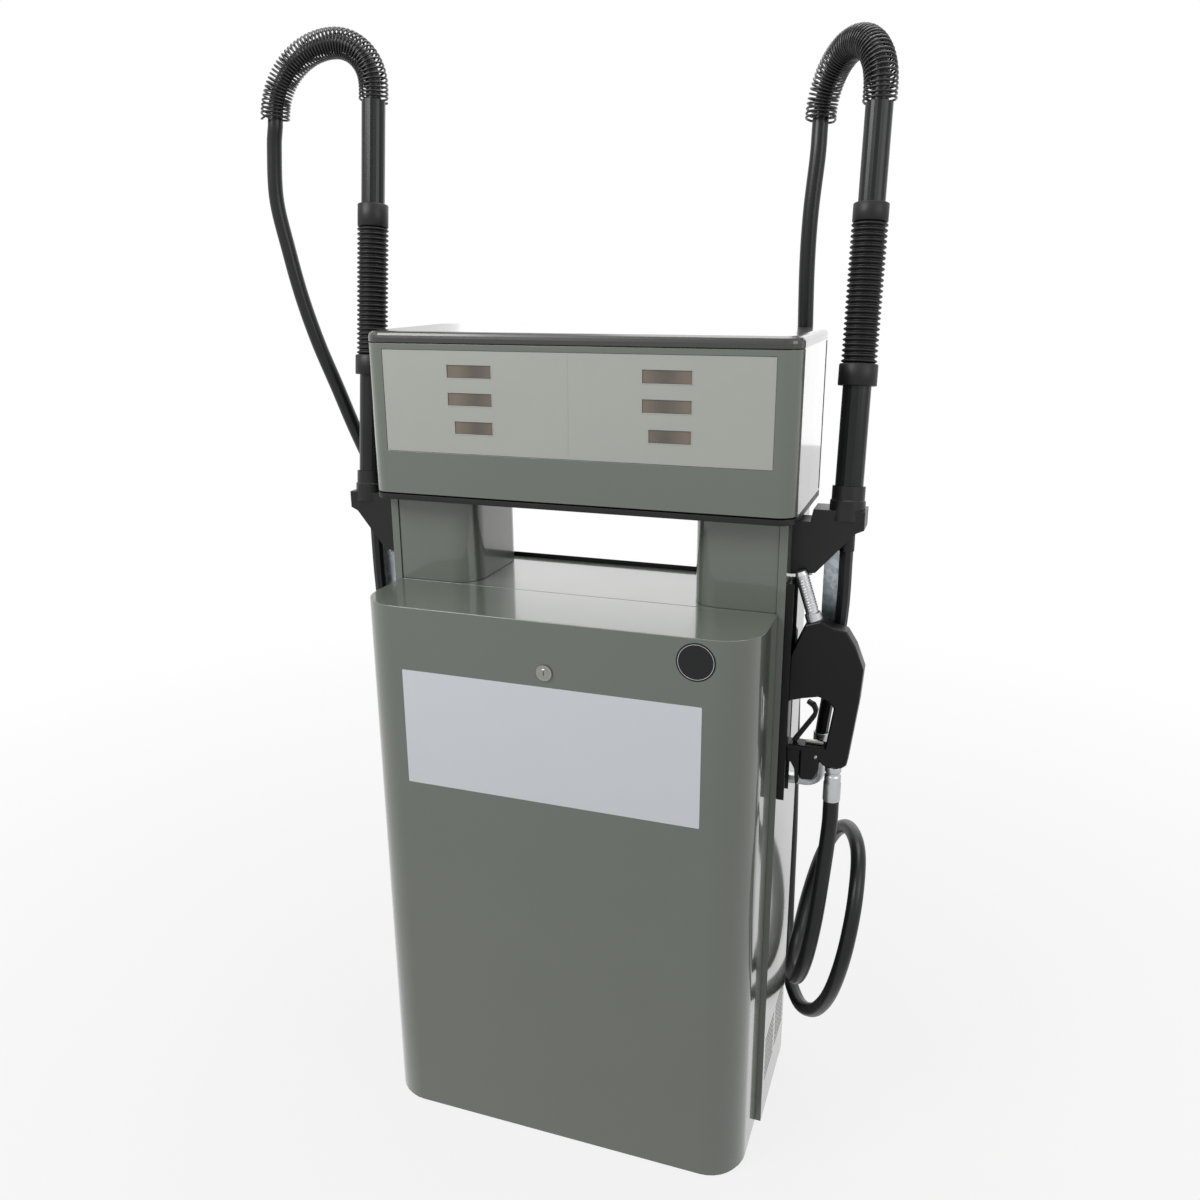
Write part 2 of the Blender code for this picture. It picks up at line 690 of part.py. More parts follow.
def meter(name, side):
    """Piston meter with its pulser on top, hung on the supply manifold."""
    place = (side * METER_X, MIDDLE_Y, METER_LOW)
    profile = [
        (0, 0),
        (METER_RADIUS * 0.7, 0),
        (METER_RADIUS, 0.02),
        (METER_RADIUS, METER_HEIGHT),
        (METER_RADIUS * 0.45, METER_HEIGHT + 0.008),
        (METER_RADIUS * 0.45, METER_HEIGHT + 0.055),
        (0, METER_HEIGHT + 0.055),
    ]
    return turned(f"{name}_meter", profile, place, (0, 0, 1), ALLOY, steps=20)


def supply_manifold():
    """Pipe that rises from the pump and spreads to both meters."""
    top = METER_LOW - GAP
    pump_top = DRIVE_HEIGHT + PUMP_SIZE / 2 + 0.02 + GAP
    level = METER_LOW - 0.075
    riser = rod(0.017, level - pump_top)
    place = (PUMP_X, MIDDLE_Y, pump_top)
    made = turned("supply_manifold", riser, place, (0, 0, 1), STEEL, steps=16)
    bar = rod(0.017, 2 * METER_X + 0.04)
    place = (-METER_X - 0.02, MIDDLE_Y, level)
    fuse(made, turned("manifold_bar", bar, place, (1, 0, 0), STEEL, steps=16))
    branch = rod(0.014, top - level)
    for name, side in SIDES.items():
        place = (side * METER_X, MIDDLE_Y, level)
        fuse(made, turned(f"manifold_{name}", branch, place, (0, 0, 1), STEEL, steps=16))
    half = FACE_X - 2 * GAP
    low = (-half, MIDDLE_Y - 0.004, level - 0.006)
    high = (half, MIDDLE_Y + 0.004, level + 0.006)
    return fuse(made, block("manifold_beam", low, high, STEEL))


def outlet_elbow(name, side):
    """Pipe from the meter out through the side panel and up to the riser hose."""
    reach = PANEL_X + OUTLET_REACH
    start = METER_X + METER_RADIUS + GAP
    bend = 0.022
    points = [(start, MIDDLE_Y, OUTLET_HEIGHT), (start + 0.015, MIDDLE_Y, OUTLET_HEIGHT)]
    points += [(FACE_X - 0.03, RISER_Y, OUTLET_HEIGHT), (PANEL_X + 0.005, RISER_Y, OUTLET_HEIGHT)]
    for angle in range(0, 91, 15):
        turn = math.radians(angle)
        x = reach - bend + bend * math.sin(turn)
        z = OUTLET_HEIGHT + bend - bend * math.cos(turn)
        points.append((x, RISER_Y, z))
    points.append((reach, RISER_Y, OUTLET_HEIGHT + 0.060))
    points = [(side * x, y, z) for x, y, z in points]
    made = tube(f"{name}_outlet_elbow", points, RISER_RADIUS - 0.0005, ALLOY)
    return made


def riser_ends(side):
    low = Vector((side * (PANEL_X + OUTLET_REACH), RISER_Y, OUTLET_HEIGHT + 0.060 + GAP))
    top = MAST_FOOT[side] - RISER_DROP - GAP
    high = Vector((side * (MAST_X[side] + 0.002), RISER_Y, top))
    return low, high


def riser_hose(name, side):
    """Short hose with a crimped ferrule, from the outlet up to the bracket."""
    low, high = riser_ends(side)
    crimp = low + Vector((0, 0, 0.034))
    points = [low, crimp, low.lerp(high, 0.35), low.lerp(high, 0.7)]
    points += [high - Vector((0, 0, 0.03)), high]
    points[2].x = side * (PANEL_X + OUTLET_REACH + 0.010)
    points[3].x = high.x - side * 0.001
    return tube(f"{name}_riser_hose", smooth_route(points, 0.03), RISER_RADIUS, HOSE)


def mast_bracket(name, side):
    """Cast bracket bolted to the side panel, with the mast's collar on its arm."""
    foot = MAST_FOOT[side]
    wall = PANEL_X + GAP
    tip = MAST_X[side] + 0.031
    inner_top = min(HEAD_LOW - 0.006, foot - 0.004)
    outline = [
        (wall, foot - 0.111),
        (wall + 0.040, foot - 0.106),
        (MAST_X[side] + 0.018, foot - 0.036),
        (tip, foot - 0.030),
        (tip, foot),
        (HEAD_X + 0.018, foot),
        (HEAD_X + 0.014, inner_top),
        (wall, inner_top),
    ]
    outline = [(side * x, z) for x, z in outline]
    half = BRACKET_WIDTH / 2
    low, high = MAST_Y - half, MAST_Y + half
    bracket = prism(f"{name}_mast_bracket", outline, "Y", low, high, BLACK_PAINT)
    lean = (0, math.sin(MAST_LEAN), math.cos(MAST_LEAN))
    base = Vector((side * MAST_X[side], MAST_Y, foot)) - 0.02 * Vector(lean)
    profile = [
        (0, 0),
        (SOCKET_RADIUS, 0),
        (SOCKET_RADIUS, 0.032),
        (COLLAR_RADIUS, 0.034),
        (COLLAR_RADIUS, COLLAR_HEIGHT + 0.02),
        (0, COLLAR_HEIGHT + 0.02),
    ]
    fuse(bracket, turned(f"{name}_collar", profile, base, lean, BLACK_PAINT))
    socket = rod(RISER_RADIUS + 0.0015, RISER_DROP - 0.02)
    place = (side * (MAST_X[side] + 0.002), RISER_Y, foot - RISER_DROP)
    boss = turned(f"{name}_riser_socket", socket, place, (0, 0, 1), BLACK_PAINT, steps=20)
    return fuse(bracket, boss)


def mast_stay(name, side):
    """Galvanised gusset plate behind the bracket, footed on the side panel."""
    inner = PANEL_X + GAP
    outer = MAST_X[side]
    low = NOZZLE_HEIGHT + 0.165
    high = MAST_FOOT[side] - 0.026
    outline = [
        (inner, low),
        (outer, low),
        (outer, high),
        (outer - 0.035, high),
        (outer - 0.035, low + 0.035),
        (inner, low + 0.015),
    ]
    outline = [(side * x, z) for x, z in outline]
    front = MAST_Y + BRACKET_WIDTH / 2 + GAP
    return prism(f"{name}_mast_stay", outline, "Y", front, front + 0.003, GALVANISED)


def arch_points(side):
    """Centreline of the hose guard in the mast's own frame, from the tube's top over to its end."""
    across = Vector((*ARCH_HEADING[side], 0))
    near = ARCH_START_RADIUS[side]
    far = ARCH_END_RADIUS[side]
    start = UPPER_TUBE_TOP[side] + GAP
    crown = start + ARCH_RISE + near
    points = [Vector((0, 0, start))]
    for angle in range(0, 181, 12):
        turn = math.radians(angle)
        radius = near if angle < 90 else far
        out = near - radius * math.cos(turn)
        points.append(across * out + Vector((0, 0, crown - radius * (1 - math.sin(turn)))))
    points.append(points[-1] - Vector((0, 0, 0.004)))
    return points


def mast(name, side):
    """Lower tube, bellows, upper tube and hose guard, all leaning back with the collar."""
    place = (side * MAST_X[side], MAST_Y, MAST_FOOT[side])
    frame = pivot(f"{name}_mast", place, (-MAST_LEAN, 0, 0))
    low = COLLAR_HEIGHT + GAP
    ribs_low = BELLOWS_LOW[side]
    ribs_high = BELLOWS_HIGH[side]
    profile = [(r, z + low) for r, z in rod(LOWER_TUBE_RADIUS, ribs_low - low)]
    keep(f"{name}_lower_tube", turned_mesh(profile), BLACK_PAINT, frame)

    bore_low = LOWER_TUBE_RADIUS + GAP
    bore_high = UPPER_TUBE_RADIUS + GAP
    profile = [
        (bore_low, CUFF_LOW[side]),
        (CUFF_RADIUS, CUFF_LOW[side]),
        (CUFF_RADIUS, ribs_low),
        (RIB_RADIUS, ribs_low + 0.002),
        (RIB_RADIUS, ribs_high - 0.002),
        (UPPER_CUFF_RADIUS, ribs_high),
        (UPPER_CUFF_RADIUS, CUFF_HIGH[side]),
        (bore_high, CUFF_HIGH[side]),
        (bore_high, ribs_high - 0.004),
        (bore_low, ribs_low + 0.004),
    ]
    keep(f"{name}_bellows", turned_mesh(profile), RUBBER, frame)

    bend = pivot(f"{name}_mast_bend", (0, 0, (ribs_low + ribs_high) / 2), parent=frame)
    down = Matrix.Translation((0, 0, -bend.location.z))
    length = UPPER_TUBE_TOP[side] - ribs_high
    upper = turned_mesh([(r, z + ribs_high) for r, z in rod(UPPER_TUBE_RADIUS, length)])
    upper.transform(down)
    keep(f"{name}_upper_tube", upper, BLACK_PAINT, bend)
    points = [down @ point for point in arch_points(side)]
    tube(f"{name}_hose_guard", points, GUARD_RADIUS, BLACK_PAINT, 2, bend)


def nozzle_outline(points, side):
    return [(side * (PANEL_X + x), NOZZLE_HEIGHT + z) for x, z in points]


BODY_OUTLINE = [
    (0.0325, 0.2494),
    (0.025, 0.231),
    (0.012, 0.198),
    (NOZZLE_INNER, 0.185),
    (NOZZLE_INNER, 0.023),
    (0.035, 0.023),
    (0.035, -0.025),
    (0.040, -0.030),
    (0.059, -0.028),
    (0.068, -0.008),
    (0.0685, 0.008),
    (0.077, 0.0),
    (0.105, 0.0),
    (0.114, 0.007),
    (0.1275, 0.124),
    (0.131, 0.181),
    (0.116, 0.219),
    (0.100, 0.244),
    (0.078, 0.247),
    (0.0585, 0.2580),
]
GUARD_WINDOW = [
    (0.0125, 0.112),
    (0.035, 0.119),
    (0.061, 0.125),
    (0.078, 0.118),
    (0.087, 0.108),
    (0.0765, 0.033),
    (0.0125, 0.033),
]
TRIGGER_OUTLINE = [
    (0.0195, 0.0380),
    (0.0207, 0.0348),
    (0.0240, 0.0334),
    (0.0273, 0.0348),
    (0.058, 0.084),
    (0.0605, 0.096),
    (0.055, 0.107),
    (0.044, 0.1125),
    (0.040, 0.108),
    (0.050, 0.101),
    (0.053, 0.094),
    (0.051, 0.087),
]
TRIGGER_PIVOT = (0.024, 0.038)
CLIP_OUTLINE = [(0.042, 0.0335), (0.072, 0.0335), (0.074, 0.0375), (0.072, 0.0405), (0.042, 0.0385)]
CLIP_PIVOT = (0.071, 0.037)
SPOUT_FOOT = (0.0455, 0.2537)
SPOUT_TIP = (0.0185, 0.3350)


def nozzle(name, side):
    """Automatic nozzle hanging spout up, in a plane across the side panel."""
    y = NOZZLE_Y[side]
    seat = pivot(f"{name}_nozzle_seat", (side * (PANEL_X + 0.05), y, NOZZLE_HEIGHT + 0.023))
    half = NOZZLE_THICK / 2
    outline = nozzle_outline(BODY_OUTLINE, side)
    body = prism(f"{name}_nozzle_body", outline, "Y", y - half, y + half, NOZZLE_PLASTIC)
    window = nozzle_outline(GUARD_WINDOW, side)
    reach = half + 0.01
    opening = prism(f"{name}_guard_window", window, "Y", y - reach, y + reach, NOZZLE_PLASTIC)
    cut(body, opening)
    hold(body, seat)
    hold(opening, seat)

    foot = Vector((side * (PANEL_X + SPOUT_FOOT[0]), y, NOZZLE_HEIGHT + SPOUT_FOOT[1]))
    tip = Vector((side * (PANEL_X + SPOUT_TIP[0]), y, NOZZLE_HEIGHT + SPOUT_TIP[1]))
    along = (tip - foot).normalized()
    profile = [
        (0, 0),
        (SPOUT_RADIUS + 0.003, 0),
        (SPOUT_RADIUS + 0.003, 0.012),
        (SPOUT_RADIUS, 0.014),
        (SPOUT_RADIUS, SPOUT_LENGTH - 0.006),
        (SPOUT_RADIUS - 0.002, SPOUT_LENGTH),
        (0, SPOUT_LENGTH),
    ]
    base = foot + along * GAP
    hold(turned(f"{name}_spout", profile, base, along, ALLOY, steps=20), seat)

    for part, outline, centre, thick, material in (
        ("trigger", TRIGGER_OUTLINE, TRIGGER_PIVOT, 0.012, NOZZLE_PLASTIC),
        ("hold_open_clip", CLIP_OUTLINE, CLIP_PIVOT, 0.008, STEEL),
    ):
        place = (side * (PANEL_X + centre[0]), y, NOZZLE_HEIGHT + centre[1])
        joint = pivot(f"{name}_{part}_axis", Vector(place) - seat.location, parent=seat)
        outline = nozzle_outline(outline, side)
        piece = prism(f"{name}_{part}", outline, "Y", y - thick / 2, y + thick / 2, material)
        piece.data.transform(Matrix.Translation(-Vector(place)))
        piece.parent = joint

    swivel_radius = HOSE_RADIUS + 0.0005
    profile = [
        (0, 0),
        (swivel_radius - 0.003, 0),
        (swivel_radius, 0.003),
        (swivel_radius, 0.012),
        (swivel_radius - 0.002, 0.014),
        (swivel_radius - 0.002, 0.018),
        (swivel_radius, 0.020),
        (swivel_radius, 0.032),
        (swivel_radius + 0.001, 0.034),
        (swivel_radius + 0.001, 0.066),
        (0, 0.066),
    ]
    place = Vector((side * HANDLE_X, y, NOZZLE_HEIGHT - GAP))
    joint = pivot(f"{name}_swivel_axis", place - seat.location, parent=seat)
    swivel = turned(f"{name}_hose_swivel", profile, place, (0, 0, -1), ALLOY, steps=20)
    low = place + Vector((-0.002, swivel_radius - 0.003, -0.030))
    high = place + Vector((0.002, swivel_radius + 0.0015, -0.022))
    flat = block(f"{name}_swivel_flat", low, high, ALLOY)
    fuse(swivel, flat)
    for piece in (swivel, flat):
        piece.data.transform(Matrix.Translation(-place))
        piece.parent = joint


def holster(name, side):
    """Cheeked back plate with the ledge that the nozzle stands on."""
    y = NOZZLE_Y[side]
    inner = PANEL_X + GAP
    plate = PANEL_X + HOLSTER_THICK
    lip = plate + 0.008
    edge = HOLSTER_HALF
    rim = edge + HOLSTER_CHEEK
    outline = [
        (inner, y - rim),
        (lip, y - rim),
        (lip, y - edge),
        (plate, y - edge),
        (plate, y + edge),
        (lip, y + edge),
        (lip, y + rim),
        (inner, y + rim),
    ]
    outline = [(side * x, across) for x, across in outline]
    made = prism(f"{name}_holster", outline, "Z", HOLSTER_LOW, HOLSTER_HIGH, NOZZLE_PLASTIC)
    ledge = NOZZLE_HEIGHT + 0.023 - GAP
    hook = [
        (inner + 0.001, ledge),
        (PANEL_X + 0.0345, ledge),
        (PANEL_X + 0.0345, ledge - 0.060),
        (PANEL_X + 0.0305, ledge - 0.066),
        (PANEL_X + 0.0285, ledge - 0.060),
        (PANEL_X + 0.0265, ledge - 0.036),
        (PANEL_X + 0.020, ledge - 0.024),
        (inner + 0.001, ledge - 0.020),
    ]
    hook = [(side * x, z) for x, z in hook]
    return fuse(made, prism(f"{name}_hook", hook, "Y", y - 0.012, y + 0.012, NOZZLE_PLASTIC))


def switch_lever(name, side):
    """Pump switch arm hanging beside the holster."""
    near = NOZZLE_Y[side] + HOLSTER_HALF + HOLSTER_CHEEK + 2 * GAP
    if side < 0:
        near = NOZZLE_Y[side] - HOLSTER_HALF - HOLSTER_CHEEK - 2 * GAP - 0.005
    level = NOZZLE_HEIGHT + 0.225
    place = Vector((side * (PANEL_X + 0.008), near, level))
    outline = [(0.0006, -0.085), (0.010, -0.090), (0.0155, -0.080), (0.0155, 0)]
    outline += [(0.012, 0.007), (0.004, 0.007), (0.0006, 0)]
    outline = [(side * (PANEL_X + x), level + z) for x, z in outline]
    joint = pivot(f"{name}_switch_axis", place)
    lever = prism(f"{name}_switch_lever", outline, "Y", near, near + 0.005, STEEL)
    return hold(lever, joint)


# Route of each delivery hose, from the hose guard's end to the swivel on the nozzle
RIGHT_HOSE_ROUTE = [
    (0.334, 0.244, 1.747),
    (0.328, 0.238, 1.658),
    (0.326, 0.239, 1.568),
    (0.328, 0.246, 1.430),
    (0.329, 0.256, 1.250),
    (0.331, 0.262, 1.030),
    (0.336, 0.272, 0.760),
    (0.339, 0.289, 0.580),
    (0.340, 0.306, 0.440),
    (0.341, 0.308, 0.312),
    (0.347, 0.279, 0.227),
    (0.363, 0.216, 0.167),
    (0.397, 0.136, 0.158),
    (0.432, 0.066, 0.198),
    (0.460, 0.012, 0.263),
    (0.481, -0.026, 0.340),
    (0.497, -0.037, 0.427),
    (0.504, -0.007, 0.509),
    (0.497, 0.064, 0.559),
    (0.471, 0.147, 0.557),
    (0.440, 0.214, 0.507),
    (0.412, 0.244, 0.429),
    (0.392, 0.230, 0.344),
    (0.384, 0.170, 0.280),
    (0.388, 0.084, 0.268),
    (0.408, 0.009, 0.308),
    (0.427, -0.036, 0.381),
    (0.440, -0.045, 0.468),
    (0.447, -0.033, 0.556),
    (0.452, -0.018, 0.643),
]
LEFT_HOSE_ROUTE = [
    (-0.645, 0.106, 1.787),
    (-0.651, 0.107, 1.698),
    (-0.638, 0.112, 1.610),
    (-0.619, 0.115, 1.522),
    (-0.594, 0.120, 1.436),
    (-0.565, 0.129, 1.352),
    (-0.539, 0.142, 1.267),
    (-0.514, 0.162, 1.183),
    (-0.492, 0.187, 1.100),
    (-0.478, 0.213, 1.015),
    (-0.469, 0.250, 0.880),
    (-0.468, 0.281, 0.754),
    (-0.470, 0.316, 0.620),
    (-0.476, 0.352, 0.494),
    (-0.481, 0.372, 0.370),
    (-0.479, 0.362, 0.270),
    (-0.465, 0.315, 0.197),
    (-0.441, 0.236, 0.160),
    (-0.417, 0.156, 0.182),
    (-0.400, 0.099, 0.245),
    (-0.393, 0.071, 0.330),
    (-0.394, 0.076, 0.420),
    (-0.401, 0.112, 0.505),
    (-0.411, 0.176, 0.567),
    (-0.421, 0.260, 0.582),
    (-0.431, 0.342, 0.551),
    (-0.436, 0.397, 0.480),
    (-0.438, 0.405, 0.390),
    (-0.439, 0.370, 0.310),
    (-0.441, 0.300, 0.262),
    (-0.443, 0.214, 0.266),
    (-0.443, 0.150, 0.325),
    (-0.442, 0.125, 0.410),
    (-0.443, 0.124, 0.500),
    (-0.448, 0.132, 0.590),
    (-0.452, 0.135, 0.650),
]
HOSE_ROUTES = {1: RIGHT_HOSE_ROUTE, -1: LEFT_HOSE_ROUTE}


def delivery_hose(name, side):
    lean = Matrix.Rotation(-MAST_LEAN, 4, "X")
    foot = Vector((side * MAST_X[side], MAST_Y, MAST_FOOT[side]))
    last, end = arch_points(side)[-2:]
    outward = (end - last).normalized()
    start = foot + lean @ (end + outward * GAP)
    leave = foot + lean @ (end + outward * 0.012)
    join = Vector((side * HANDLE_X, NOZZLE_Y[side], NOZZLE_HEIGHT - 0.066 - 2 * GAP))
    points = [leave, *HOSE_ROUTES[side], join + Vector((0, 0, -0.014))]
    line = [start, *smooth_route(points, 0.050), join]
    return tube(f"{name}_delivery_hose", line, HOSE_RADIUS, HOSE, 3)


base_frame()
centre_shelf()
rear_seal()
head_gasket()
head_case()
head_cap()
electronics_box()

cover_joint = pivot("front_cover_axis", (0, FRONT_Y, FLOOR_GAP))
hold(front_cover(), cover_joint)
for tool in ("front_cover_inside", "front_lock_hole"):
    hold(bpy.data.objects[tool], cover_joint)
lock("front_lock", FRONT_Y, -1, LOCK_HEIGHT)
rear_cover()
lock("rear_lock", BACK_Y, 1, REAR_LOCK_HEIGHT)

door_joint = pivot("front_door_axis", (0, HEAD_FRONT + 0.003, DOOR_HIGH - 0.003))
front_door_set(door_joint)
head_door("head_rear_door", True)
drive()
supply_manifold()

for side_name, side_sign in SIDES.items():
    side_panel(side_name, side_sign)
    column_cover(side_name, side_sign)
    meter(side_name, side_sign)
    outlet_elbow(side_name, side_sign)
    riser_hose(side_name, side_sign)
    mast_bracket(side_name, side_sign)
    mast_stay(side_name, side_sign)
    mast(side_name, side_sign)
    holster(side_name, side_sign)
    switch_lever(side_name, side_sign)
    nozzle(side_name, side_sign)
    delivery_hose(side_name, side_sign)
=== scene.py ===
import json
import math

import bmesh
import bpy
from mathutils import Matrix, Vector


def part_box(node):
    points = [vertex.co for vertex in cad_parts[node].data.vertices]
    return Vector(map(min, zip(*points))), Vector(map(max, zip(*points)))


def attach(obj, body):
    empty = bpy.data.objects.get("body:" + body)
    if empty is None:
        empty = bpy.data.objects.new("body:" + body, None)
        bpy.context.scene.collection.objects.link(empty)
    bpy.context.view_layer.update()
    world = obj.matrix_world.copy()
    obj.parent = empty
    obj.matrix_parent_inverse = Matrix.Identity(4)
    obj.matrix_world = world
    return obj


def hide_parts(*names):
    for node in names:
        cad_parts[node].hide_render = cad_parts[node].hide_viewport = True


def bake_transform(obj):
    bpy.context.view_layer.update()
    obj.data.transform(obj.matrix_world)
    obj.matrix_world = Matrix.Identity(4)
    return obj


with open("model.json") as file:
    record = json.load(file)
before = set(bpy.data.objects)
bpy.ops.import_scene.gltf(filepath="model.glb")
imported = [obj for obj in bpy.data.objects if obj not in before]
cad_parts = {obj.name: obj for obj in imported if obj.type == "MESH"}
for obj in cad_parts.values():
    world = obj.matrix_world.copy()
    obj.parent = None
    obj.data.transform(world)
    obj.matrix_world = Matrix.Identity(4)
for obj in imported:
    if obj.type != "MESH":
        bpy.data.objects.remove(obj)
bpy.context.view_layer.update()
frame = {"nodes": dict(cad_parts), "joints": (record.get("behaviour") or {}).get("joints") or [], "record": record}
nodes = frame["nodes"]
sides = {"right": 1, "left": -1}
bodyOf = {
    member: body
    for body, members in frame["record"]["behaviour"]["bodies"].items()
    for member in members
}
jointOf = {joint["name"]: joint for joint in frame["joints"]}
print("frame loaded:", len(nodes), "nodes")

seam = 0.0003  # gap between pieces that meet

# place in metres, angles in radians, lens and sensor in mm
view = {
    "place": (0.6285, -1.6928, 1.561),
    "heading": 0.3415,
    "tilt": 0.2991,
    "roll": -0.0061,
    "lens": 31.78,
    "sensor": 36,
}
cameraData = bpy.data.cameras.new("camera")
cameraData.sensor_width = view["sensor"]
cameraData.lens = view["lens"]
camera = bpy.data.objects.new("camera", cameraData)
bpy.context.scene.collection.objects.link(camera)
camera.matrix_world = (
    Matrix.Translation(view["place"])
    @ Matrix.Rotation(view["heading"], 4, "Z")
    @ Matrix.Rotation(math.pi / 2 - view["tilt"], 4, "X")
    @ Matrix.Rotation(view["roll"], 4, "Z")
)
bpy.context.scene.camera = camera
print("camera placed")


def linearColour(hexCode):
    # an sRGB hex code as linear light
    channels = [int(hexCode[i : i + 2], 16) / 255 for i in (0, 2, 4)]
    return (*(c / 12.92 if c < 0.04045 else ((c + 0.055) / 1.055) ** 2.4 for c in channels), 1)


def addNode(tree, kind, inputs=None, **settings):
    node = tree.nodes.new(kind)
    for key, value in settings.items():
        setattr(node, key, value)
    for name, value in (inputs or {}).items():
        if isinstance(value, bpy.types.NodeSocket):
            tree.links.new(value, node.inputs[name])
        else:
            node.inputs[name].default_value = value
    return node


# patch: size in mm of the slow drift between the two colours; grain: size in mm of the bump;
# wear: how far the roughness drifts; depth: height of the bump in mm; gloss: roughness of the coat
usualLook = {"metallic": 0.0, "gloss": 0.12, "specular": 0.5}
noise = {
    "drift": {"Detail": 3.0, "Roughness": 0.55},
    "grain": {"Detail": 2.0, "Roughness": 0.5},
    "bump": 0.6,
}
millimetres = 1000  # in a metre
mixFirst, mixSecond, mixResult = 6, 7, 2  # colour sockets of a mix node
finishes = {
    # baked enamel on pressed steel: even and glossy with a faint orange peel
    "bakedEnamel": dict(colour="5B6158", drift="535950", patch=320, roughness=0.36, wear=0.05,
                        grain=2.6, depth=0.010, coat=1.0, gloss=0.07),
    # black enamel on the lid
    "blackEnamel": dict(colour="2B2A29", drift="232220", patch=180, roughness=0.28, wear=0.05,
                        grain=2.4, depth=0.012, coat=0.5),
    # cast iron bracket under thick black paint: lumpy, half gloss
    "paintedCasting": dict(colour="0E0E0F", drift="141415", patch=30, roughness=0.40, wear=0.10,
                           grain=3.0, depth=0.08, coat=0.05, specular=0.3),
    # drawn steel tube, black paint with long soft highlights
    "paintedTube": dict(colour="111214", drift="17181A", patch=60, roughness=0.28, wear=0.06,
                        grain=3.0, depth=0.012, coat=0.05, specular=0.25),
    # moulded nitrile: dull with a dusty bloom
    "mouldedRubber": dict(colour="111112", drift="19191A", patch=24, roughness=0.46, wear=0.10,
                          grain=1.2, depth=0.03, coat=0.0, specular=0.3),
    # oil-tempered spring wire, black and slick
    "springWire": dict(colour="0D0D0F", drift="131316", patch=12, roughness=0.30, wear=0.06,
                       grain=1.5, depth=0.01, coat=0.1, specular=0.35),
    # printed polycarbonate sheet: pale warm grey, satin
    "printedSheet": dict(colour="A3A59F", drift="9C9E98", patch=140, roughness=0.38, wear=0.05,
                         grain=1.4, depth=0.008, coat=0.3),
    # moulded acetal nozzle cover: black, fine spark texture drawn coarser so it shows
    "mouldedAcetal": dict(colour="08080A", drift="0C0C0E", patch=40, roughness=0.34, wear=0.08,
                          grain=1.1, depth=0.03, coat=0.0, specular=0.22),
    # turned and sand-cast aluminium, satin
    "satinAluminium": dict(colour="C4C5C6", drift="AEB0B2", patch=14, roughness=0.36, wear=0.10,
                           grain=1.4, depth=0.03, metallic=1.0, coat=0.0),
    # nickel-plated lock and screws
    "platedSteel": dict(colour="9A9892", drift="8B8983", patch=9, roughness=0.26, wear=0.08,
                        grain=1.2, depth=0.01, metallic=1.0, coat=0.0),
    # white vinyl film with a cool cast, for the label and the ring, its white greyed down with painted shade
    "shadedWhiteVinyl": dict(colour="CED1D7", drift="C8CBD1", patch=200, roughness=0.34, wear=0.03,
                       grain=2.5, depth=0.008, coat=0.15),
    # black vinyl film, half gloss, for the round sticker
    "blackVinyl": dict(colour="0F1012", drift="131416", patch=40, roughness=0.30, wear=0.03,
                       grain=2.5, depth=0.008, coat=0.0, specular=0.3),
    # blue machinery enamel over rough castings
    "machineEnamel": dict(colour="3C5470", drift="34495F", patch=50, roughness=0.45, wear=0.10,
                          grain=3.5, depth=0.12, coat=0.15),
    # painted shade: a dull grey sheet on the plug that stands for the dark inside of a keyway
    "keywayShadeGrey": dict(colour="4A4B4C", drift="434445", patch=20, roughness=0.5, wear=0.03,
                    grain=1.5, depth=0.005, coat=0.0),
}


def opened(made):
    tree = made.node_tree
    place = addNode(tree, "ShaderNodeTexCoord").outputs["Object"]
    return tree, tree.nodes["Principled BSDF"], place


def makeFinish(name, look):
    look = {**usualLook, **look}
    made = bpy.data.materials.new(name)
    made.use_nodes = True
    tree, shader, place = opened(made)
    slow = addNode(tree, "ShaderNodeTexNoise",
                   {"Vector": place, "Scale": millimetres / look["patch"], **noise["drift"]})
    fine = addNode(tree, "ShaderNodeTexNoise",
                   {"Vector": place, "Scale": millimetres / look["grain"], **noise["grain"]})
    mix = addNode(tree, "ShaderNodeMix", {"Factor": slow.outputs["Fac"]}, data_type="RGBA")
    mix.inputs[mixFirst].default_value = linearColour(look["colour"])
    mix.inputs[mixSecond].default_value = linearColour(look["drift"])
    tree.links.new(mix.outputs[mixResult], shader.inputs["Base Color"])
    rough = addNode(tree, "ShaderNodeMapRange", {
        "Value": slow.outputs["Fac"],
        "To Min": look["roughness"] - look["wear"],
        "To Max": look["roughness"] + look["wear"],
    })
    tree.links.new(rough.outputs["Result"], shader.inputs["Roughness"])
    bump = addNode(tree, "ShaderNodeBump", {
        "Height": fine.outputs["Fac"],
        "Strength": noise["bump"],
        "Distance": look["depth"] / millimetres,
    })
    tree.links.new(bump.outputs["Normal"], shader.inputs["Normal"])
    shader.inputs["Metallic"].default_value = look["metallic"]
    shader.inputs["Coat Weight"].default_value = look["coat"]
    shader.inputs["Coat Roughness"].default_value = look["gloss"]
    shader.inputs["Specular IOR Level"].default_value = look["specular"]
    return made


finish = {name: makeFinish(name, look) for name, look in finishes.items()}

# hot-dip zinc: dull bluish spangles, their size in mm
zinc = {
    "look": dict(colour="B9BFC4", drift="A4ABB1", patch=60, roughness=0.42, wear=0.06,
                 grain=2.0, depth=0.02, metallic=1.0, coat=0.0),
    "spangle": 8, "pale": "C3C9CE", "dark": "99A1A8",
}


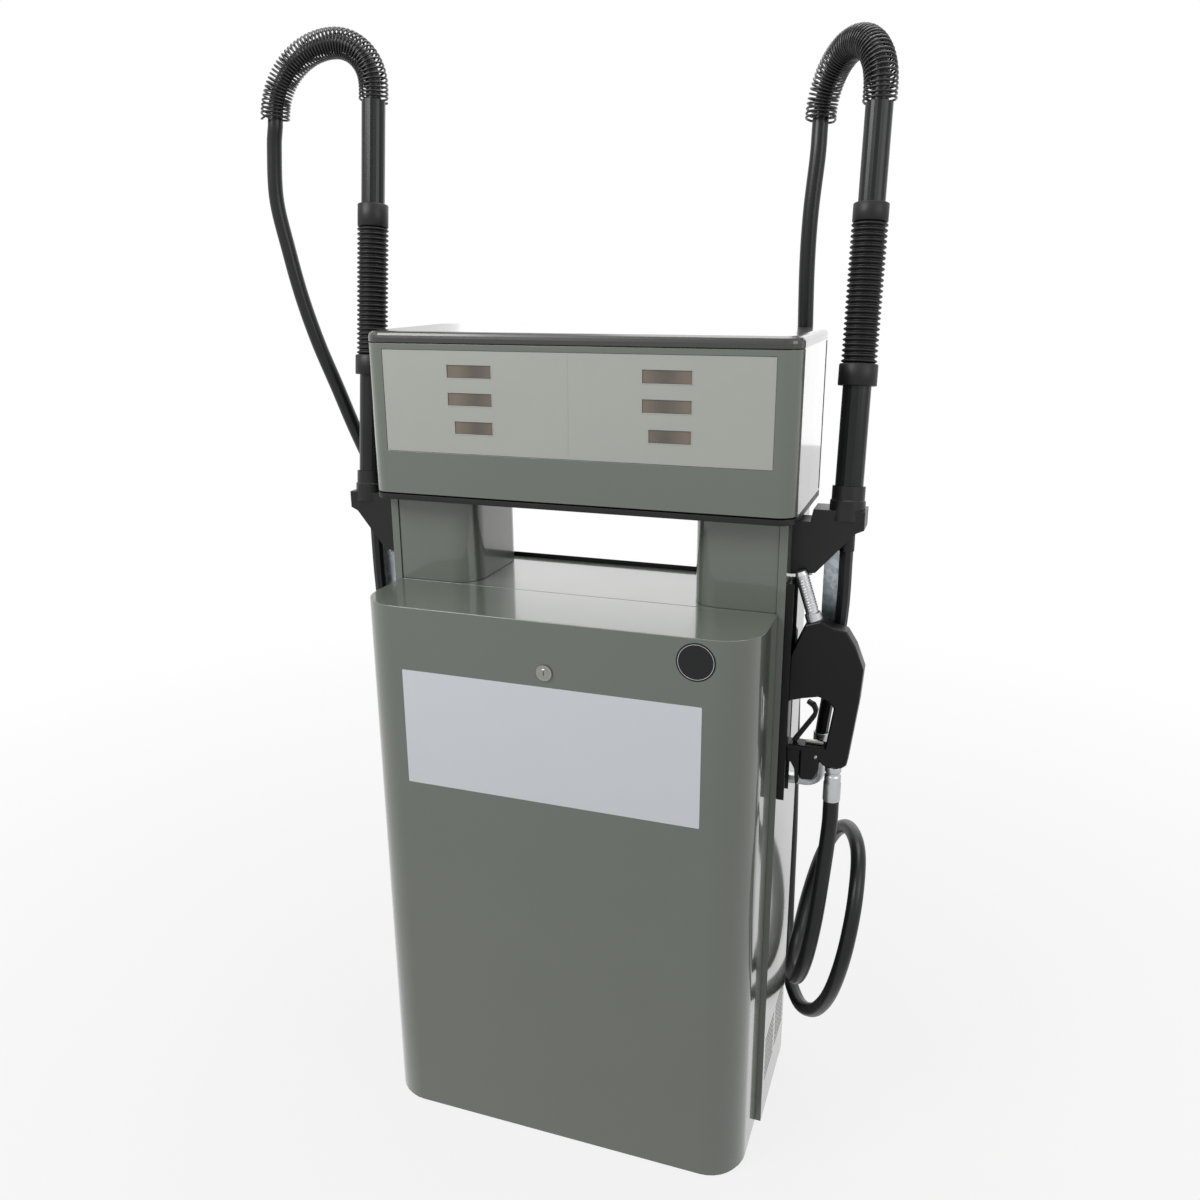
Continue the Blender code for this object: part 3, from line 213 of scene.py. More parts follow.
def makeGalvanised():
    made = makeFinish("galvanisedSteel", zinc["look"])
    tree, shader, place = opened(made)
    cells = addNode(tree, "ShaderNodeTexVoronoi",
                    {"Vector": place, "Scale": millimetres / zinc["spangle"]})
    tone = addNode(tree, "ShaderNodeSeparateColor", {"Color": cells.outputs["Color"]})
    mix = addNode(tree, "ShaderNodeMix", {"Factor": tone.outputs["Red"]}, data_type="RGBA")
    mix.inputs[mixFirst].default_value = linearColour(zinc["pale"])
    mix.inputs[mixSecond].default_value = linearColour(zinc["dark"])
    tree.links.new(mix.outputs[mixResult], shader.inputs["Base Color"])
    return made


# extruded rubber over braid: the braid shows as a faint slanting wave, about 16 mm a turn
wrap = {
    "look": dict(colour="0D0E10", drift="141517", patch=70, roughness=0.36, wear=0.07,
                 grain=1.3, depth=0.02, coat=0.05, specular=0.3),
    "slant": (0.25, 0.3, 0.0), "scale": 20.0, "waver": 0.4, "bump": 0.25, "depth": 0.00012,
}


def makeHoseRubber():
    made = makeFinish("wrappedHose", wrap["look"])
    tree, shader, place = opened(made)
    turned = addNode(tree, "ShaderNodeMapping", {"Vector": place, "Rotation": wrap["slant"]})
    wave = addNode(tree, "ShaderNodeTexWave", {
        "Vector": turned.outputs["Vector"],
        "Scale": wrap["scale"],
        "Distortion": wrap["waver"],
    }, wave_type="BANDS", bands_direction="Z")
    bump = addNode(tree, "ShaderNodeBump", {
        "Height": wave.outputs["Fac"],
        "Strength": wrap["bump"],
        "Distance": wrap["depth"],
    })
    tree.links.new(bump.outputs["Normal"], shader.inputs["Normal"])
    return made


# tinted acrylic over a dark display: warm brown-grey with wide soft upright bands
window = {
    "look": dict(colour="463F38", drift="5A5047", patch=18, roughness=0.16, wear=0.05,
                 grain=3.0, depth=0.004, coat=0.6),
    "bands": "6B5F52", "scale": 50 / 13,
}


def makeScreen():
    made = makeFinish("tintedWindow", window["look"])
    mix = next(node for node in made.node_tree.nodes if node.type == "MIX")
    tree, shader, place = opened(made)
    bars = addNode(tree, "ShaderNodeTexWave",
                   {"Vector": place, "Scale": window["scale"], "Distortion": 0.0},
                   wave_type="BANDS", bands_direction="X", wave_profile="SIN")
    dark = addNode(tree, "ShaderNodeMix", {"Factor": bars.outputs["Fac"]}, data_type="RGBA")
    tree.links.new(mix.outputs[mixResult], dark.inputs[mixFirst])
    dark.inputs[mixSecond].default_value = linearColour(window["bands"])
    tree.links.new(dark.outputs[mixResult], shader.inputs["Base Color"])
    return made


# the finishes that add a pattern of their own
finish["galvanisedSteel"] = makeGalvanised()
finish["wrappedHose"] = makeHoseRubber()
finish["tintedWindow"] = makeScreen()
print("finishes made:", len(finish))


# weld: metres within which vertices are one; flat: degrees between faces that are one
merging = {"weld": 1e-6, "nodeWeld": 1e-5, "flat": 0.6}


def addPiece(name, bm, look, body=None, sharp=32):
    bmesh.ops.remove_doubles(bm, verts=bm.verts, dist=merging["weld"])
    bmesh.ops.recalc_face_normals(bm, faces=bm.faces)
    mesh = bpy.data.meshes.new(name)
    bm.to_mesh(mesh)
    bm.free()
    mesh.materials.append(finish[look])
    mesh.shade_smooth()
    mesh.set_sharp_from_angle(angle=math.radians(sharp))
    piece = bpy.data.objects.new(name, mesh)
    bpy.context.scene.collection.objects.link(piece)
    if body:
        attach(piece, body)
    return piece


def softened(node, width, look, segments=2, angle=30):
    # a CAD node's own shape with its sharp edges rounded over
    bm = bmesh.new()
    bm.from_mesh(nodes[node].data)
    bmesh.ops.remove_doubles(bm, verts=bm.verts, dist=merging["nodeWeld"])
    bmesh.ops.dissolve_limit(bm, angle_limit=math.radians(merging["flat"]), verts=bm.verts,
                             edges=bm.edges)
    bmesh.ops.triangulate(bm, faces=bm.faces[:])  # a bevel breaks a face that wraps a hole
    edges = [
        edge for edge in bm.edges
        if len(edge.link_faces) == 2 and edge.calc_face_angle() > math.radians(angle)
    ]
    bmesh.ops.bevel(bm, geom=edges, offset=width, affect="EDGES", segments=segments,
                    profile=0.5, material=-1, clamp_overlap=True)
    piece = addPiece(f"{node}_finished", bm, look, bodyOf[node])
    weighted = piece.modifiers.new("evenShading", "WEIGHTED_NORMAL")
    weighted.keep_sharp = True
    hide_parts(node)
    return piece


def spun(profile, steps=48):
    # (radius, height) points turned about Z
    bm = bmesh.new()
    verts = [bm.verts.new((radius, 0, height)) for radius, height in profile]
    edges = [bm.edges.new(pair) for pair in zip(verts, verts[1:])]
    bmesh.ops.spin(bm, geom=verts + edges, cent=(0, 0, 0), axis=(0, 0, 1),
                   angle=math.tau, steps=steps, use_merge=True)
    return bm


def placed(bm, place, axis=(0, 0, 1)):
    turn = Vector((0, 0, 1)).rotation_difference(Vector(axis)).to_matrix().to_4x4()
    bmesh.ops.transform(bm, verts=bm.verts, matrix=Matrix.Translation(place) @ turn)
    return bm


def slab(x0, x1, z0, z1, y, thick, round_=0.0, segments=5):
    # thin upright plate facing -Y, corners rounded
    bm = bmesh.new()
    bmesh.ops.create_grid(bm, x_segments=1, y_segments=1, size=0.5)
    bmesh.ops.scale(bm, verts=bm.verts, vec=(x1 - x0, z1 - z0, 1))
    if round_:
        bmesh.ops.bevel(bm, geom=bm.verts[:], offset=round_, affect="VERTICES",
                        segments=segments, profile=0.5, material=-1)
    grown = bmesh.ops.extrude_face_region(bm, geom=bm.faces[:])
    moved = [item for item in grown["geom"] if isinstance(item, bmesh.types.BMVert)]
    bmesh.ops.translate(bm, verts=moved, vec=(0, 0, thick))
    upright = Matrix.Rotation(math.pi / 2, 4, "X")
    centre = Matrix.Translation(((x0 + x1) / 2, y, (z0 + z1) / 2))
    bmesh.ops.transform(bm, verts=bm.verts, matrix=centre @ upright)
    return bm


def curvePiece(name, points, radius, look, body, resolution=3):
    curve = bpy.data.curves.new(name, "CURVE")
    curve.dimensions = "3D"
    curve.bevel_depth = radius
    curve.bevel_resolution = resolution
    curve.use_fill_caps = True
    spline = curve.splines.new("POLY")
    spline.points.add(len(points) - 1)
    for spot, point in zip(spline.points, points):
        spot.co = (*point, 1)
    curve.materials.append(finish[look])
    piece = bpy.data.objects.new(name, curve)
    bpy.context.scene.collection.objects.link(piece)
    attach(piece, body)
    return piece


def tubePiece(name, points, radius, look, body=None, around=28):
    # a tube with one ring of vertices at each point, closed at both ends
    bm = bmesh.new()
    rings = []
    ahead = (points[1] - points[0]).normalized()
    aside = ahead.orthogonal().normalized()
    for i, spot in enumerate(points):
        after = (points[min(i + 1, len(points) - 1)] - points[max(i - 1, 0)]).normalized()
        aside = (ahead.rotation_difference(after) @ aside).normalized()
        ahead = after
        turns = [math.tau * k / around for k in range(around)]
        rings.append([
            bm.verts.new(spot + radius * (aside * math.cos(a) + ahead.cross(aside) * math.sin(a)))
            for a in turns
        ])
    for low, high in zip(rings, rings[1:]):
        for k in range(around):
            bm.faces.new((low[k], low[k - 1], high[k - 1], high[k]))
    bm.faces.new(rings[0])
    bm.faces.new(rings[-1])
    return addPiece(name, bm, look, body)


def evenRoute(points, spacing, samples=24):
    # evenly spaced points on a smooth curve through the route
    route = [Vector(point) for point in points]
    full = [2 * route[0] - route[1], *route, 2 * route[-1] - route[-2]]
    fine = []
    for before, start, end, after in zip(full, full[1:], full[2:], full[3:]):
        for i in range(samples):
            t = i / samples
            bend = 2 * start + (end - before) * t
            bend += (2 * before - 5 * start + 4 * end - after) * t**2
            bend += (3 * start - before - 3 * end + after) * t**3
            fine.append(bend / 2)
    fine.append(route[-1])
    walked = [0.0]
    for a, b in zip(fine, fine[1:]):
        walked.append(walked[-1] + (b - a).length)
    count = max(2, round(walked[-1] / spacing))
    kept = []
    here = 0
    for i in range(count + 1):
        goal = walked[-1] * i / count
        while here < len(fine) - 2 and walked[here + 1] < goal:
            here += 1
        share = (goal - walked[here]) / (walked[here + 1] - walked[here])
        kept.append(fine[here].lerp(fine[here + 1], share))
    return kept


def lengthOf(points):
    return sum((b - a).length for a, b in zip(points, points[1:]))


def wound(line, radius, pitch, perTurn=20):
    # a helix of that radius round a line of points
    line = evenRoute(line, pitch / perTurn)
    ahead = (line[1] - line[0]).normalized()
    aside = ahead.orthogonal().normalized()
    points = []
    for i, spot in enumerate(line):
        after = line[min(i + 1, len(line) - 1)] - line[max(i - 1, 0)]
        after.normalize()
        aside = (ahead.rotation_difference(after) @ aside).normalized()
        ahead = after
        turn = math.tau * i / perTurn
        out = aside * math.cos(turn) + ahead.cross(aside) * math.sin(turn)
        points.append(spot + out * radius)
    return points


# heights along a mast are measured from the middle of its bellows; near and far are the radii
# of the two halves of its arch, and heading is the way the arch points
mast = {
    "lean": math.radians(8),
    "tubeRadius": 0.0225,
    "upperRadius": 0.021,
    "guardRadius": 0.0265,
    "rise": 0.0205,
    "arcStep": 12,
    "end": 0.004,
    "right": {
        "cuffLow": -0.141, "ribsLow": -0.107, "ribsHigh": 0.107, "cuffHigh": 0.135, "guard": 0.281,
        "near": 0.090, "far": 0.090, "heading": (-0.6088, 0.7933),
    },
    "left": {
        "cuffLow": -0.148, "ribsLow": -0.113, "ribsHigh": 0.113, "cuffHigh": 0.1526, "guard": 0.329,
        "near": 0.080, "far": 0.120, "heading": (-0.9986, -0.0523),
    },
}


def mastFrame(side):
    middle = jointOf[f"{side}_mast_flex"]["pos_m"]
    return Matrix.Translation(middle) @ Matrix.Rotation(-mast["lean"], 4, "X")


def archLine(side):
    # middle line of the hose guard, tube top to its free end
    own = mast[side]
    across = Vector((*own["heading"], 0))
    foot = own["guard"] + seam
    crown = foot + mast["rise"] + own["near"]
    points = [Vector((0, 0, foot))]
    for angle in range(0, 181, mast["arcStep"]):
        turn = math.radians(angle)
        radius = own["near"] if angle < 90 else own["far"]
        out = own["near"] - radius * math.cos(turn)
        points.append(across * out + Vector((0, 0, crown - radius * (1 - math.sin(turn)))))
    points.append(points[-1] - Vector((0, 0, mast["end"])))
    return [mastFrame(side) @ point for point in points]


# each route runs from the mast to the nozzle
hose = {
    "radius": 0.0135,
    "spacing": 0.012,  # between rings of the tube
    "leave": 0.012,  # straight run out of the guard
    "straight": 0.014,  # straight run into the swivel
    "still": 1.44,  # a height on the hose, in metres
    "tail": 7,  # points at the end that go with the nozzle
    "hidden": 0.0005,  # how far the tail lies under the surface
    "right": [
        (0.334, 0.244, 1.747), (0.328, 0.238, 1.658), (0.326, 0.239, 1.568),
        (0.328, 0.246, 1.430), (0.329, 0.256, 1.250), (0.331, 0.262, 1.030),
        (0.336, 0.272, 0.760), (0.339, 0.289, 0.580), (0.340, 0.306, 0.440),
        (0.341, 0.308, 0.312), (0.347, 0.279, 0.227), (0.363, 0.216, 0.167),
        (0.397, 0.136, 0.158), (0.432, 0.066, 0.198), (0.460, 0.012, 0.263),
        (0.481, -0.026, 0.340), (0.497, -0.037, 0.427), (0.504, -0.007, 0.509),
        (0.497, 0.064, 0.559), (0.471, 0.147, 0.557), (0.440, 0.214, 0.507),
        (0.412, 0.244, 0.429), (0.392, 0.230, 0.344), (0.384, 0.170, 0.280),
        (0.388, 0.084, 0.268), (0.408, 0.009, 0.308), (0.427, -0.036, 0.381),
        (0.440, -0.045, 0.468), (0.447, -0.033, 0.556), (0.452, -0.018, 0.643),
    ],
    "left": [
        (-0.645, 0.106, 1.787), (-0.651, 0.107, 1.698), (-0.638, 0.112, 1.610),
        (-0.619, 0.115, 1.522), (-0.594, 0.120, 1.436), (-0.565, 0.129, 1.352),
        (-0.539, 0.142, 1.267), (-0.514, 0.162, 1.183), (-0.492, 0.187, 1.100),
        (-0.478, 0.213, 1.015), (-0.469, 0.250, 0.880), (-0.468, 0.281, 0.754),
        (-0.470, 0.316, 0.620), (-0.476, 0.352, 0.494), (-0.481, 0.372, 0.370),
        (-0.479, 0.362, 0.270), (-0.465, 0.315, 0.197), (-0.441, 0.236, 0.160),
        (-0.417, 0.156, 0.182), (-0.400, 0.099, 0.245), (-0.393, 0.071, 0.330),
        (-0.394, 0.076, 0.420), (-0.401, 0.112, 0.505), (-0.411, 0.176, 0.567),
        (-0.421, 0.260, 0.582), (-0.431, 0.342, 0.551), (-0.436, 0.397, 0.480),
        (-0.438, 0.405, 0.390), (-0.439, 0.370, 0.310), (-0.441, 0.300, 0.262),
        (-0.443, 0.214, 0.266), (-0.443, 0.150, 0.325), (-0.442, 0.125, 0.410),
        (-0.443, 0.124, 0.500), (-0.448, 0.132, 0.590), (-0.452, 0.135, 0.650),
    ],
}


def deliveryHose(side):
    last, end = archLine(side)[-2:]
    outward = (end - last).normalized()
    start = end + outward * seam
    leave = end + outward * hose["leave"]
    join = Vector(jointOf[f"{side}_swivel_turn"]["pos_m"])
    join.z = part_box(f"{side}_hose_swivel")[0].z - seam
    points = [leave, *hose[side], join - Vector((0, 0, hose["straight"]))]
    line = [start, *evenRoute(points, hose["spacing"]), join]
    piece = tubePiece(f"{side}_hose", line, hose["radius"], "wrappedHose")
    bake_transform(piece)
    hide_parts(f"{side}_delivery_hose")
    # hidden inside the hose at rest, it follows the nozzle as that is lifted
    tail = line[-hose["tail"] :]
    curvePiece(f"{side}_hose_tail", tail, hose["radius"] - hose["hidden"], "wrappedHose",
               f"{side}_nozzle")
    return piece, start, line


hoses = {side: deliveryHose(side) for side in sides}
print("hoses laid:", {side: round(lengthOf(line), 3) for side, (_, _, line) in hoses.items()})

bellows = {
    "pitch": 0.0083, "rib": 0.0282, "valley": 0.0236, "cuff": 0.0305, "upperCuff": 0.0275,
    "edge": 0.001, "shoulder": 0.0015, "samples": 8, "fullness": 0.25,
}


def bellowsProfile(own):
    low, high = own["ribsLow"], own["ribsHigh"]
    edge, shoulder, samples = bellows["edge"], bellows["shoulder"], bellows["samples"]
    points = [
        (mast["tubeRadius"], own["cuffLow"]),
        (bellows["cuff"] - edge, own["cuffLow"]),
        (bellows["cuff"], own["cuffLow"] + edge),
        (bellows["cuff"], low - shoulder),
        (bellows["cuff"] - shoulder, low),
    ]
    count = round((high - low) / bellows["pitch"])
    step = (high - low) / count
    middle = (bellows["rib"] + bellows["valley"]) / 2
    swing = (bellows["rib"] - bellows["valley"]) / 2
    for i in range(count * samples):
        turn = math.tau * (i + 0.5) / samples
        # crests fuller than a sine
        wave = -math.cos(turn) * (1 + bellows["fullness"] * (1 - math.cos(turn) ** 2))
        points.append((middle + swing * wave, low + step * (i + 0.5) / samples))
    points += [
        (bellows["upperCuff"] - shoulder, high),
        (bellows["upperCuff"], high + shoulder),
        (bellows["upperCuff"], own["cuffHigh"] - edge),
        (bellows["upperCuff"] - edge, own["cuffHigh"]),
        (mast["upperRadius"], own["cuffHigh"]),
    ]
    return points


for side in sides:
    own = mast[side]
    ownFrame = mastFrame(side)
    bm = spun(bellowsProfile(own))
    bmesh.ops.transform(bm, verts=bm.verts, matrix=ownFrame)
    piece = addPiece(f"{side}_bellows_ribbed", bm, "mouldedRubber", sharp=60)
    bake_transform(piece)
    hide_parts(f"{side}_bellows")

# the guard is a close-wound spring with the hose inside it
guard = {"wire": 0.0020, "pitch": 0.0068, "spacing": 0.012}
for side in sides:
    body = f"{side}_mast_top"
    line = archLine(side)
    coil = wound(line, mast["guardRadius"] - guard["wire"], guard["pitch"])
    piece = curvePiece(f"{side}_guard_spring", coil, guard["wire"], "springWire", body,
                       resolution=1)
    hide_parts(f"{side}_hose_guard")
    inside = evenRoute(line, guard["spacing"])
    curvePiece(f"{side}_hose_in_guard", inside, hose["radius"], "wrappedHose", body)
print("masts made")

# how far each edge is rounded over, in metres, the finish, and the steps in the rounding
sheetMetal = {
    "front_cover": (0.0035, "bakedEnamel", 4),
    "rear_cover": (0.0015, "bakedEnamel", 2),
    "head_front_door": (0.0022, "bakedEnamel", 3),
    "head_rear_door": (0.0022, "bakedEnamel", 3),
    "head_gasket": (0.0012, "mouldedRubber", 2),
    "rear_seal": (0.0010, "mouldedRubber", 2),
    "front_dial_panel": (0.0004, "printedSheet", 1),
    "centre_shelf": (0.0012, "bakedEnamel", 2),
    "right_column_cover": (0.0006, "bakedEnamel", 1),
    "left_column_cover": (0.0006, "bakedEnamel", 1),
}
for node, (width, look, segments) in sheetMetal.items():
    softened(node, width, look, segments)

# the same for the castings and the nozzle of each side
softParts = {
    "mast_bracket": (0.0022, "paintedCasting", 3),
    "mast_stay": (0.0005, "galvanisedSteel", 1),
    "nozzle_body": (0.0042, "mouldedAcetal", 4),
    "holster": (0.0008, "mouldedAcetal", 2),
    "trigger": (0.0016, "mouldedAcetal", 2),
    "hold_open_clip": (0.0008, "platedSteel", 2),
    "switch_lever": (0.0010, "galvanisedSteel", 2),
    "hose_swivel": (0.0005, "satinAluminium", 2),
    "outlet_elbow": (0.0004, "satinAluminium", 1),
}
for side in sides:
    for part, (width, look, segments) in softParts.items():
        softened(f"{side}_{part}", width, look, segments)
print("sheet metal and castings softened")

# these keep their CAD shape and take a finish
plainFinish = {
    "base_frame": "blackEnamel", "head_case": "bakedEnamel", "head_cap": "blackEnamel",
    "front_display_board": "tintedWindow", "electronics_box": "galvanisedSteel",
    "front_lock": "platedSteel", "rear_lock": "platedSteel",
    "motor": "machineEnamel", "pump_unit": "machineEnamel", "supply_manifold": "galvanisedSteel",
    "motor_pulley": "satinAluminium", "pump_pulley": "satinAluminium", "v_belt": "mouldedRubber",
}
for side in sides:
    plainFinish.update({
        f"{side}_side_panel": "bakedEnamel", f"{side}_lower_tube": "paintedTube",
        f"{side}_upper_tube": "paintedTube", f"{side}_meter": "satinAluminium",
        f"{side}_riser_hose": "wrappedHose", f"{side}_spout": "satinAluminium",
    })
for node, look in plainFinish.items():
    for slot in nodes[node].material_slots:
        slot.material = finish[look]

# a wire spring wound round each spout; run: across and up from foot to tip
spout = {
    "run": (-0.027, 0.0813), "length": 0.085, "radius": 0.0105, "collar": 0.016, "bare": 0.014,
    "tipIn": 0.80, "tipDown": 0.22, "wire": 0.0011, "pitch": 0.0046, "sunk": 0.2, "perTurn": 16,
}
for side, sign in sides.items():
    low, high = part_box(f"{side}_spout")
    r, wire = spout["radius"], spout["wire"]
    along = Vector((sign * spout["run"][0], 0, spout["run"][1])).normalized()
    corner = Vector((low.x if sign > 0 else high.x, (low.y + high.y) / 2, high.z))
    tip = corner + Vector((sign * r * spout["tipIn"], 0, -r * spout["tipDown"]))
    foot = tip - along * spout["length"]
    line = [foot + along * spout["collar"], foot + along * (spout["length"] - spout["bare"])]
    coil = wound(line, r - wire * spout["sunk"], spout["pitch"], spout["perTurn"])
    curvePiece(f"{side}_spout_spring", coil, wire, "satinAluminium", f"{side}_nozzle",
               resolution=2)

# a grooved ferrule at the foot of each riser hose
ferrule = {
    "radius": 0.0135, "bore": 0.0112, "length": 0.036, "edge": 0.001, "inset": 0.0105,
    "grooves": (0.0095, 0.0195), "half": 0.0015, "depth": 0.0008,
}
for side, sign in sides.items():
    low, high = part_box(f"{side}_riser_hose")
    elbowLow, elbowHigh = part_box(f"{side}_outlet_elbow")
    x = (elbowHigh.x if sign > 0 else elbowLow.x) - sign * ferrule["inset"]
    r, bore, edge, tall = (ferrule[key] for key in ("radius", "bore", "edge", "length"))
    profile = [(bore, 0), (r - edge, 0), (r, edge)]
    for middle in ferrule["grooves"]:
        profile += [(r, middle - ferrule["half"]), (r - ferrule["depth"], middle),
                    (r, middle + ferrule["half"])]
    profile += [(r, tall - edge), (r - edge, tall), (bore, tall)]
    bm = placed(spun(profile, steps=32), (x, (low.y + high.y) / 2, low.z))
    addPiece(f"{side}_riser_ferrule", bm, "satinAluminium", "housing")
print("spouts and ferrules made")

# bare white film across the cover
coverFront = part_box("front_cover")[0].y
label = {"half": 0.265, "low": 0.700, "high": 0.912, "thick": 0.0003, "round": 0.002}
bm = slab(-label["half"], label["half"], label["low"], label["high"], coverFront, label["thick"],
          label["round"])
# the label's white is greyed down with painted shade
addPiece("front_label", bm, "shadedWhiteVinyl", "front_cover")

# ring: how far in from the rim it starts and ends
sticker = {
    "place": (0.2535, 0.986), "radius": 0.032, "thick": 0.0004, "edge": 0.0004,
    "ring": (0.0035, 0.0028), "ringProud": 0.00012, "steps": 64,
}
r, t = sticker["radius"], sticker["thick"]
place = (sticker["place"][0], coverFront, sticker["place"][1])
disc = [(0, t), (r - sticker["edge"], t), (r, 0), (0, 0)]
bm = placed(spun(disc, steps=sticker["steps"]), place, (0, -1, 0))
addPiece("round_sticker", bm, "blackVinyl", "front_cover")
inner, outer = (r - inward for inward in sticker["ring"])
top = t + sticker["ringProud"]
ring = [(inner, top), (outer, top), (outer, t / 2), (inner, t / 2), (inner, top)]
bm = placed(spun(ring, steps=sticker["steps"]), place, (0, -1, 0))
addPiece("round_sticker_ring", bm, "shadedWhiteVinyl", "front_cover")

plug = {
    "radius": 0.0075, "proud": 0.0012, "seat": 0.003, "edge": 0.0008, "drop": 0.0006,
    "sunk": 0.001, "slot": (0.0016, 0.0080), "slotProud": 0.0002, "slotThick": 0.0004,
    "slotRound": 0.0005,
}
for name, joint, outward in (("front", "front_lock_turn", -1), ("rear", "rear_lock_turn", 1)):
    place = Vector(jointOf[joint]["pos_m"]) + Vector((0, outward * plug["seat"], 0))
    r, p, sunk = plug["radius"], plug["proud"], plug["sunk"]
    profile = [(0, p), (r - plug["edge"], p), (r, p - plug["drop"]), (r, -sunk), (0, -sunk)]
    bm = placed(spun(profile, steps=32), place, (0, outward, 0))
    addPiece(f"{name}_lock_plug", bm, "platedSteel", f"{name}_lock")
    # the key slot is a thin grey sheet on the plug's face, painted shade for the keyway
    wide, tall = plug["slot"]
    depth = place.y + outward * (p + plug["slotProud"])
    bm = slab(-wide / 2, wide / 2, place.z - tall / 2, place.z + tall / 2, depth,
              plug["slotThick"], plug["slotRound"], segments=2)
    addPiece(f"{name}_key_slot", bm, "keywayShadeGrey", f"{name}_lock")

# the line down the dial's middle
dialLow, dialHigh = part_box("front_dial_panel")
dial = {"half": 0.0006, "margin": 0.004, "proud": 0.0002}
front = dialLow.y
bm = slab(-dial["half"], dial["half"], dialLow.z + dial["margin"], dialHigh.z - dial["margin"],
          front, dial["proud"])
addPiece("dial_middle_line", bm, "printedSheet", "head_front_door")

# frames round the windows: edges are their right-hand ends,
# rows their middles above the dial's foot
frames = {
    "edges": {"left": -0.136, "right": 0.2065}, "rows": (0.138, 0.092, 0.0445),
    "widths": (0.080, 0.080, 0.069), "tall": 0.020, "gap": 0.0005, "rim": 0.0016,
    "proud": 0.0003, "round": 0.0012, "facing": 0.9,
}


def windowFrame(x0, x1, z0, z1, y):
    rim = frames["rim"]
    bm = slab(x0 - rim, x1 + rim, z0 - rim, z1 + rim, y, frames["proud"], frames["round"],
              segments=3)
    face = min(bm.faces, key=lambda f: f.calc_center_median().y)
    bmesh.ops.inset_region(bm, faces=[face], thickness=rim, depth=0)
    # the middle and the back go, which leaves an open rim
    back = [
        f for f in bm.faces
        if f.calc_center_median().y > y - merging["weld"] and abs(f.normal.y) > frames["facing"]
    ]
    bmesh.ops.delete(bm, geom=[face, *back], context="FACES")
    return bm


for half, edge in frames["edges"].items():
    for row, (up, width) in enumerate(zip(frames["rows"], frames["widths"])):
        z = dialLow.z + up
        gap = frames["gap"]
        reach = frames["tall"] / 2 + gap
        bm = windowFrame(edge - width - gap, edge + gap, z - reach, z + reach, front)
        addPiece(f"window_frame_{half}_{row + 1}", bm, "printedSheet", "head_front_door")

# tall and bevel are shares of the size; lean is the bracket's slope
bolt = {
    "size": 0.0048, "tall": 1.1, "bevel": 0.12, "inset": 0.013, "out": 0.030, "up": 0.0045,
    "lean": 0.12,
}


def hexBolt(name, place, axis, body):
    size = bolt["size"]
    tall = size * bolt["tall"]
    bm = bmesh.new()
    bmesh.ops.create_cone(bm, cap_ends=True, segments=6, radius1=size, radius2=size, depth=tall)
    edges = [e for e in bm.edges if min(v.co.z for v in e.verts) > 0]
    bmesh.ops.bevel(bm, geom=edges, offset=size * bolt["bevel"], affect="EDGES", segments=2,
                    profile=0.5, material=-1)
    bmesh.ops.translate(bm, verts=bm.verts, vec=(0, 0, tall / 2))
    addPiece(name, placed(bm, place, axis), "platedSteel", body)


rivet = {"profile": [(0, 0.0016), (0.0022, 0.0012), (0.0032, 0), (0, 0)], "out": 0.062, "up": 0.046}
for side, sign in sides.items():
    low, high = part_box(f"{side}_mast_bracket")
    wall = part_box(f"{side}_side_panel")[1 if sign > 0 else 0].x
    for i, y in enumerate((low.y + bolt["inset"], high.y - bolt["inset"])):
        place = (wall + sign * bolt["out"], y, low.z + bolt["up"])
        hexBolt(f"{side}_bracket_bolt_{i + 1}", place, (sign * bolt["lean"], 0, -1), "housing")
    nozzleLow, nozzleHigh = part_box(f"{side}_nozzle_body")
    for i, outward in enumerate((-1, 1)):
        y = nozzleLow.y if outward < 0 else nozzleHigh.y
        place = (wall + sign * rivet["out"], y, nozzleLow.z + rivet["up"])
        bm = placed(spun(rivet["profile"], steps=20), place, (0, outward, 0))
        addPiece(f"{side}_guard_rivet_{i + 1}", bm, "platedSteel", f"{side}_nozzle")
print("labels, windows and fasteners fitted")

for side in sides:
    piece, start, line = hoses[side]

# a white paper floor; fade: metres from the foot over which it turns plain white
studio = {
    "floor": "9A9A98", "floorSize": 12, "floorRoughness": 0.85, "floorDrop": 0.0005,
    "floorWhite": 0.84, "fade": (0.7, 3.0), "white": 1.0, "sky": 0.36,
}

bm = bmesh.new()
bmesh.ops.create_grid(bm, x_segments=1, y_segments=1, size=studio["floorSize"])
floorMesh = bpy.data.meshes.new("floor")
bm.to_mesh(floorMesh)
bm.free()
paper = bpy.data.materials.new("whitePaper")
paper.use_nodes = True
tree = paper.node_tree
shader = tree.nodes["Principled BSDF"]
shader.inputs["Base Color"].default_value = linearColour(studio["floor"])
shader.inputs["Roughness"].default_value = studio["floorRoughness"]
rays = addNode(tree, "ShaderNodeLightPath")
glow = addNode(tree, "ShaderNodeEmission", {"Color": (1, 1, 1, 1), "Strength": studio["white"]})
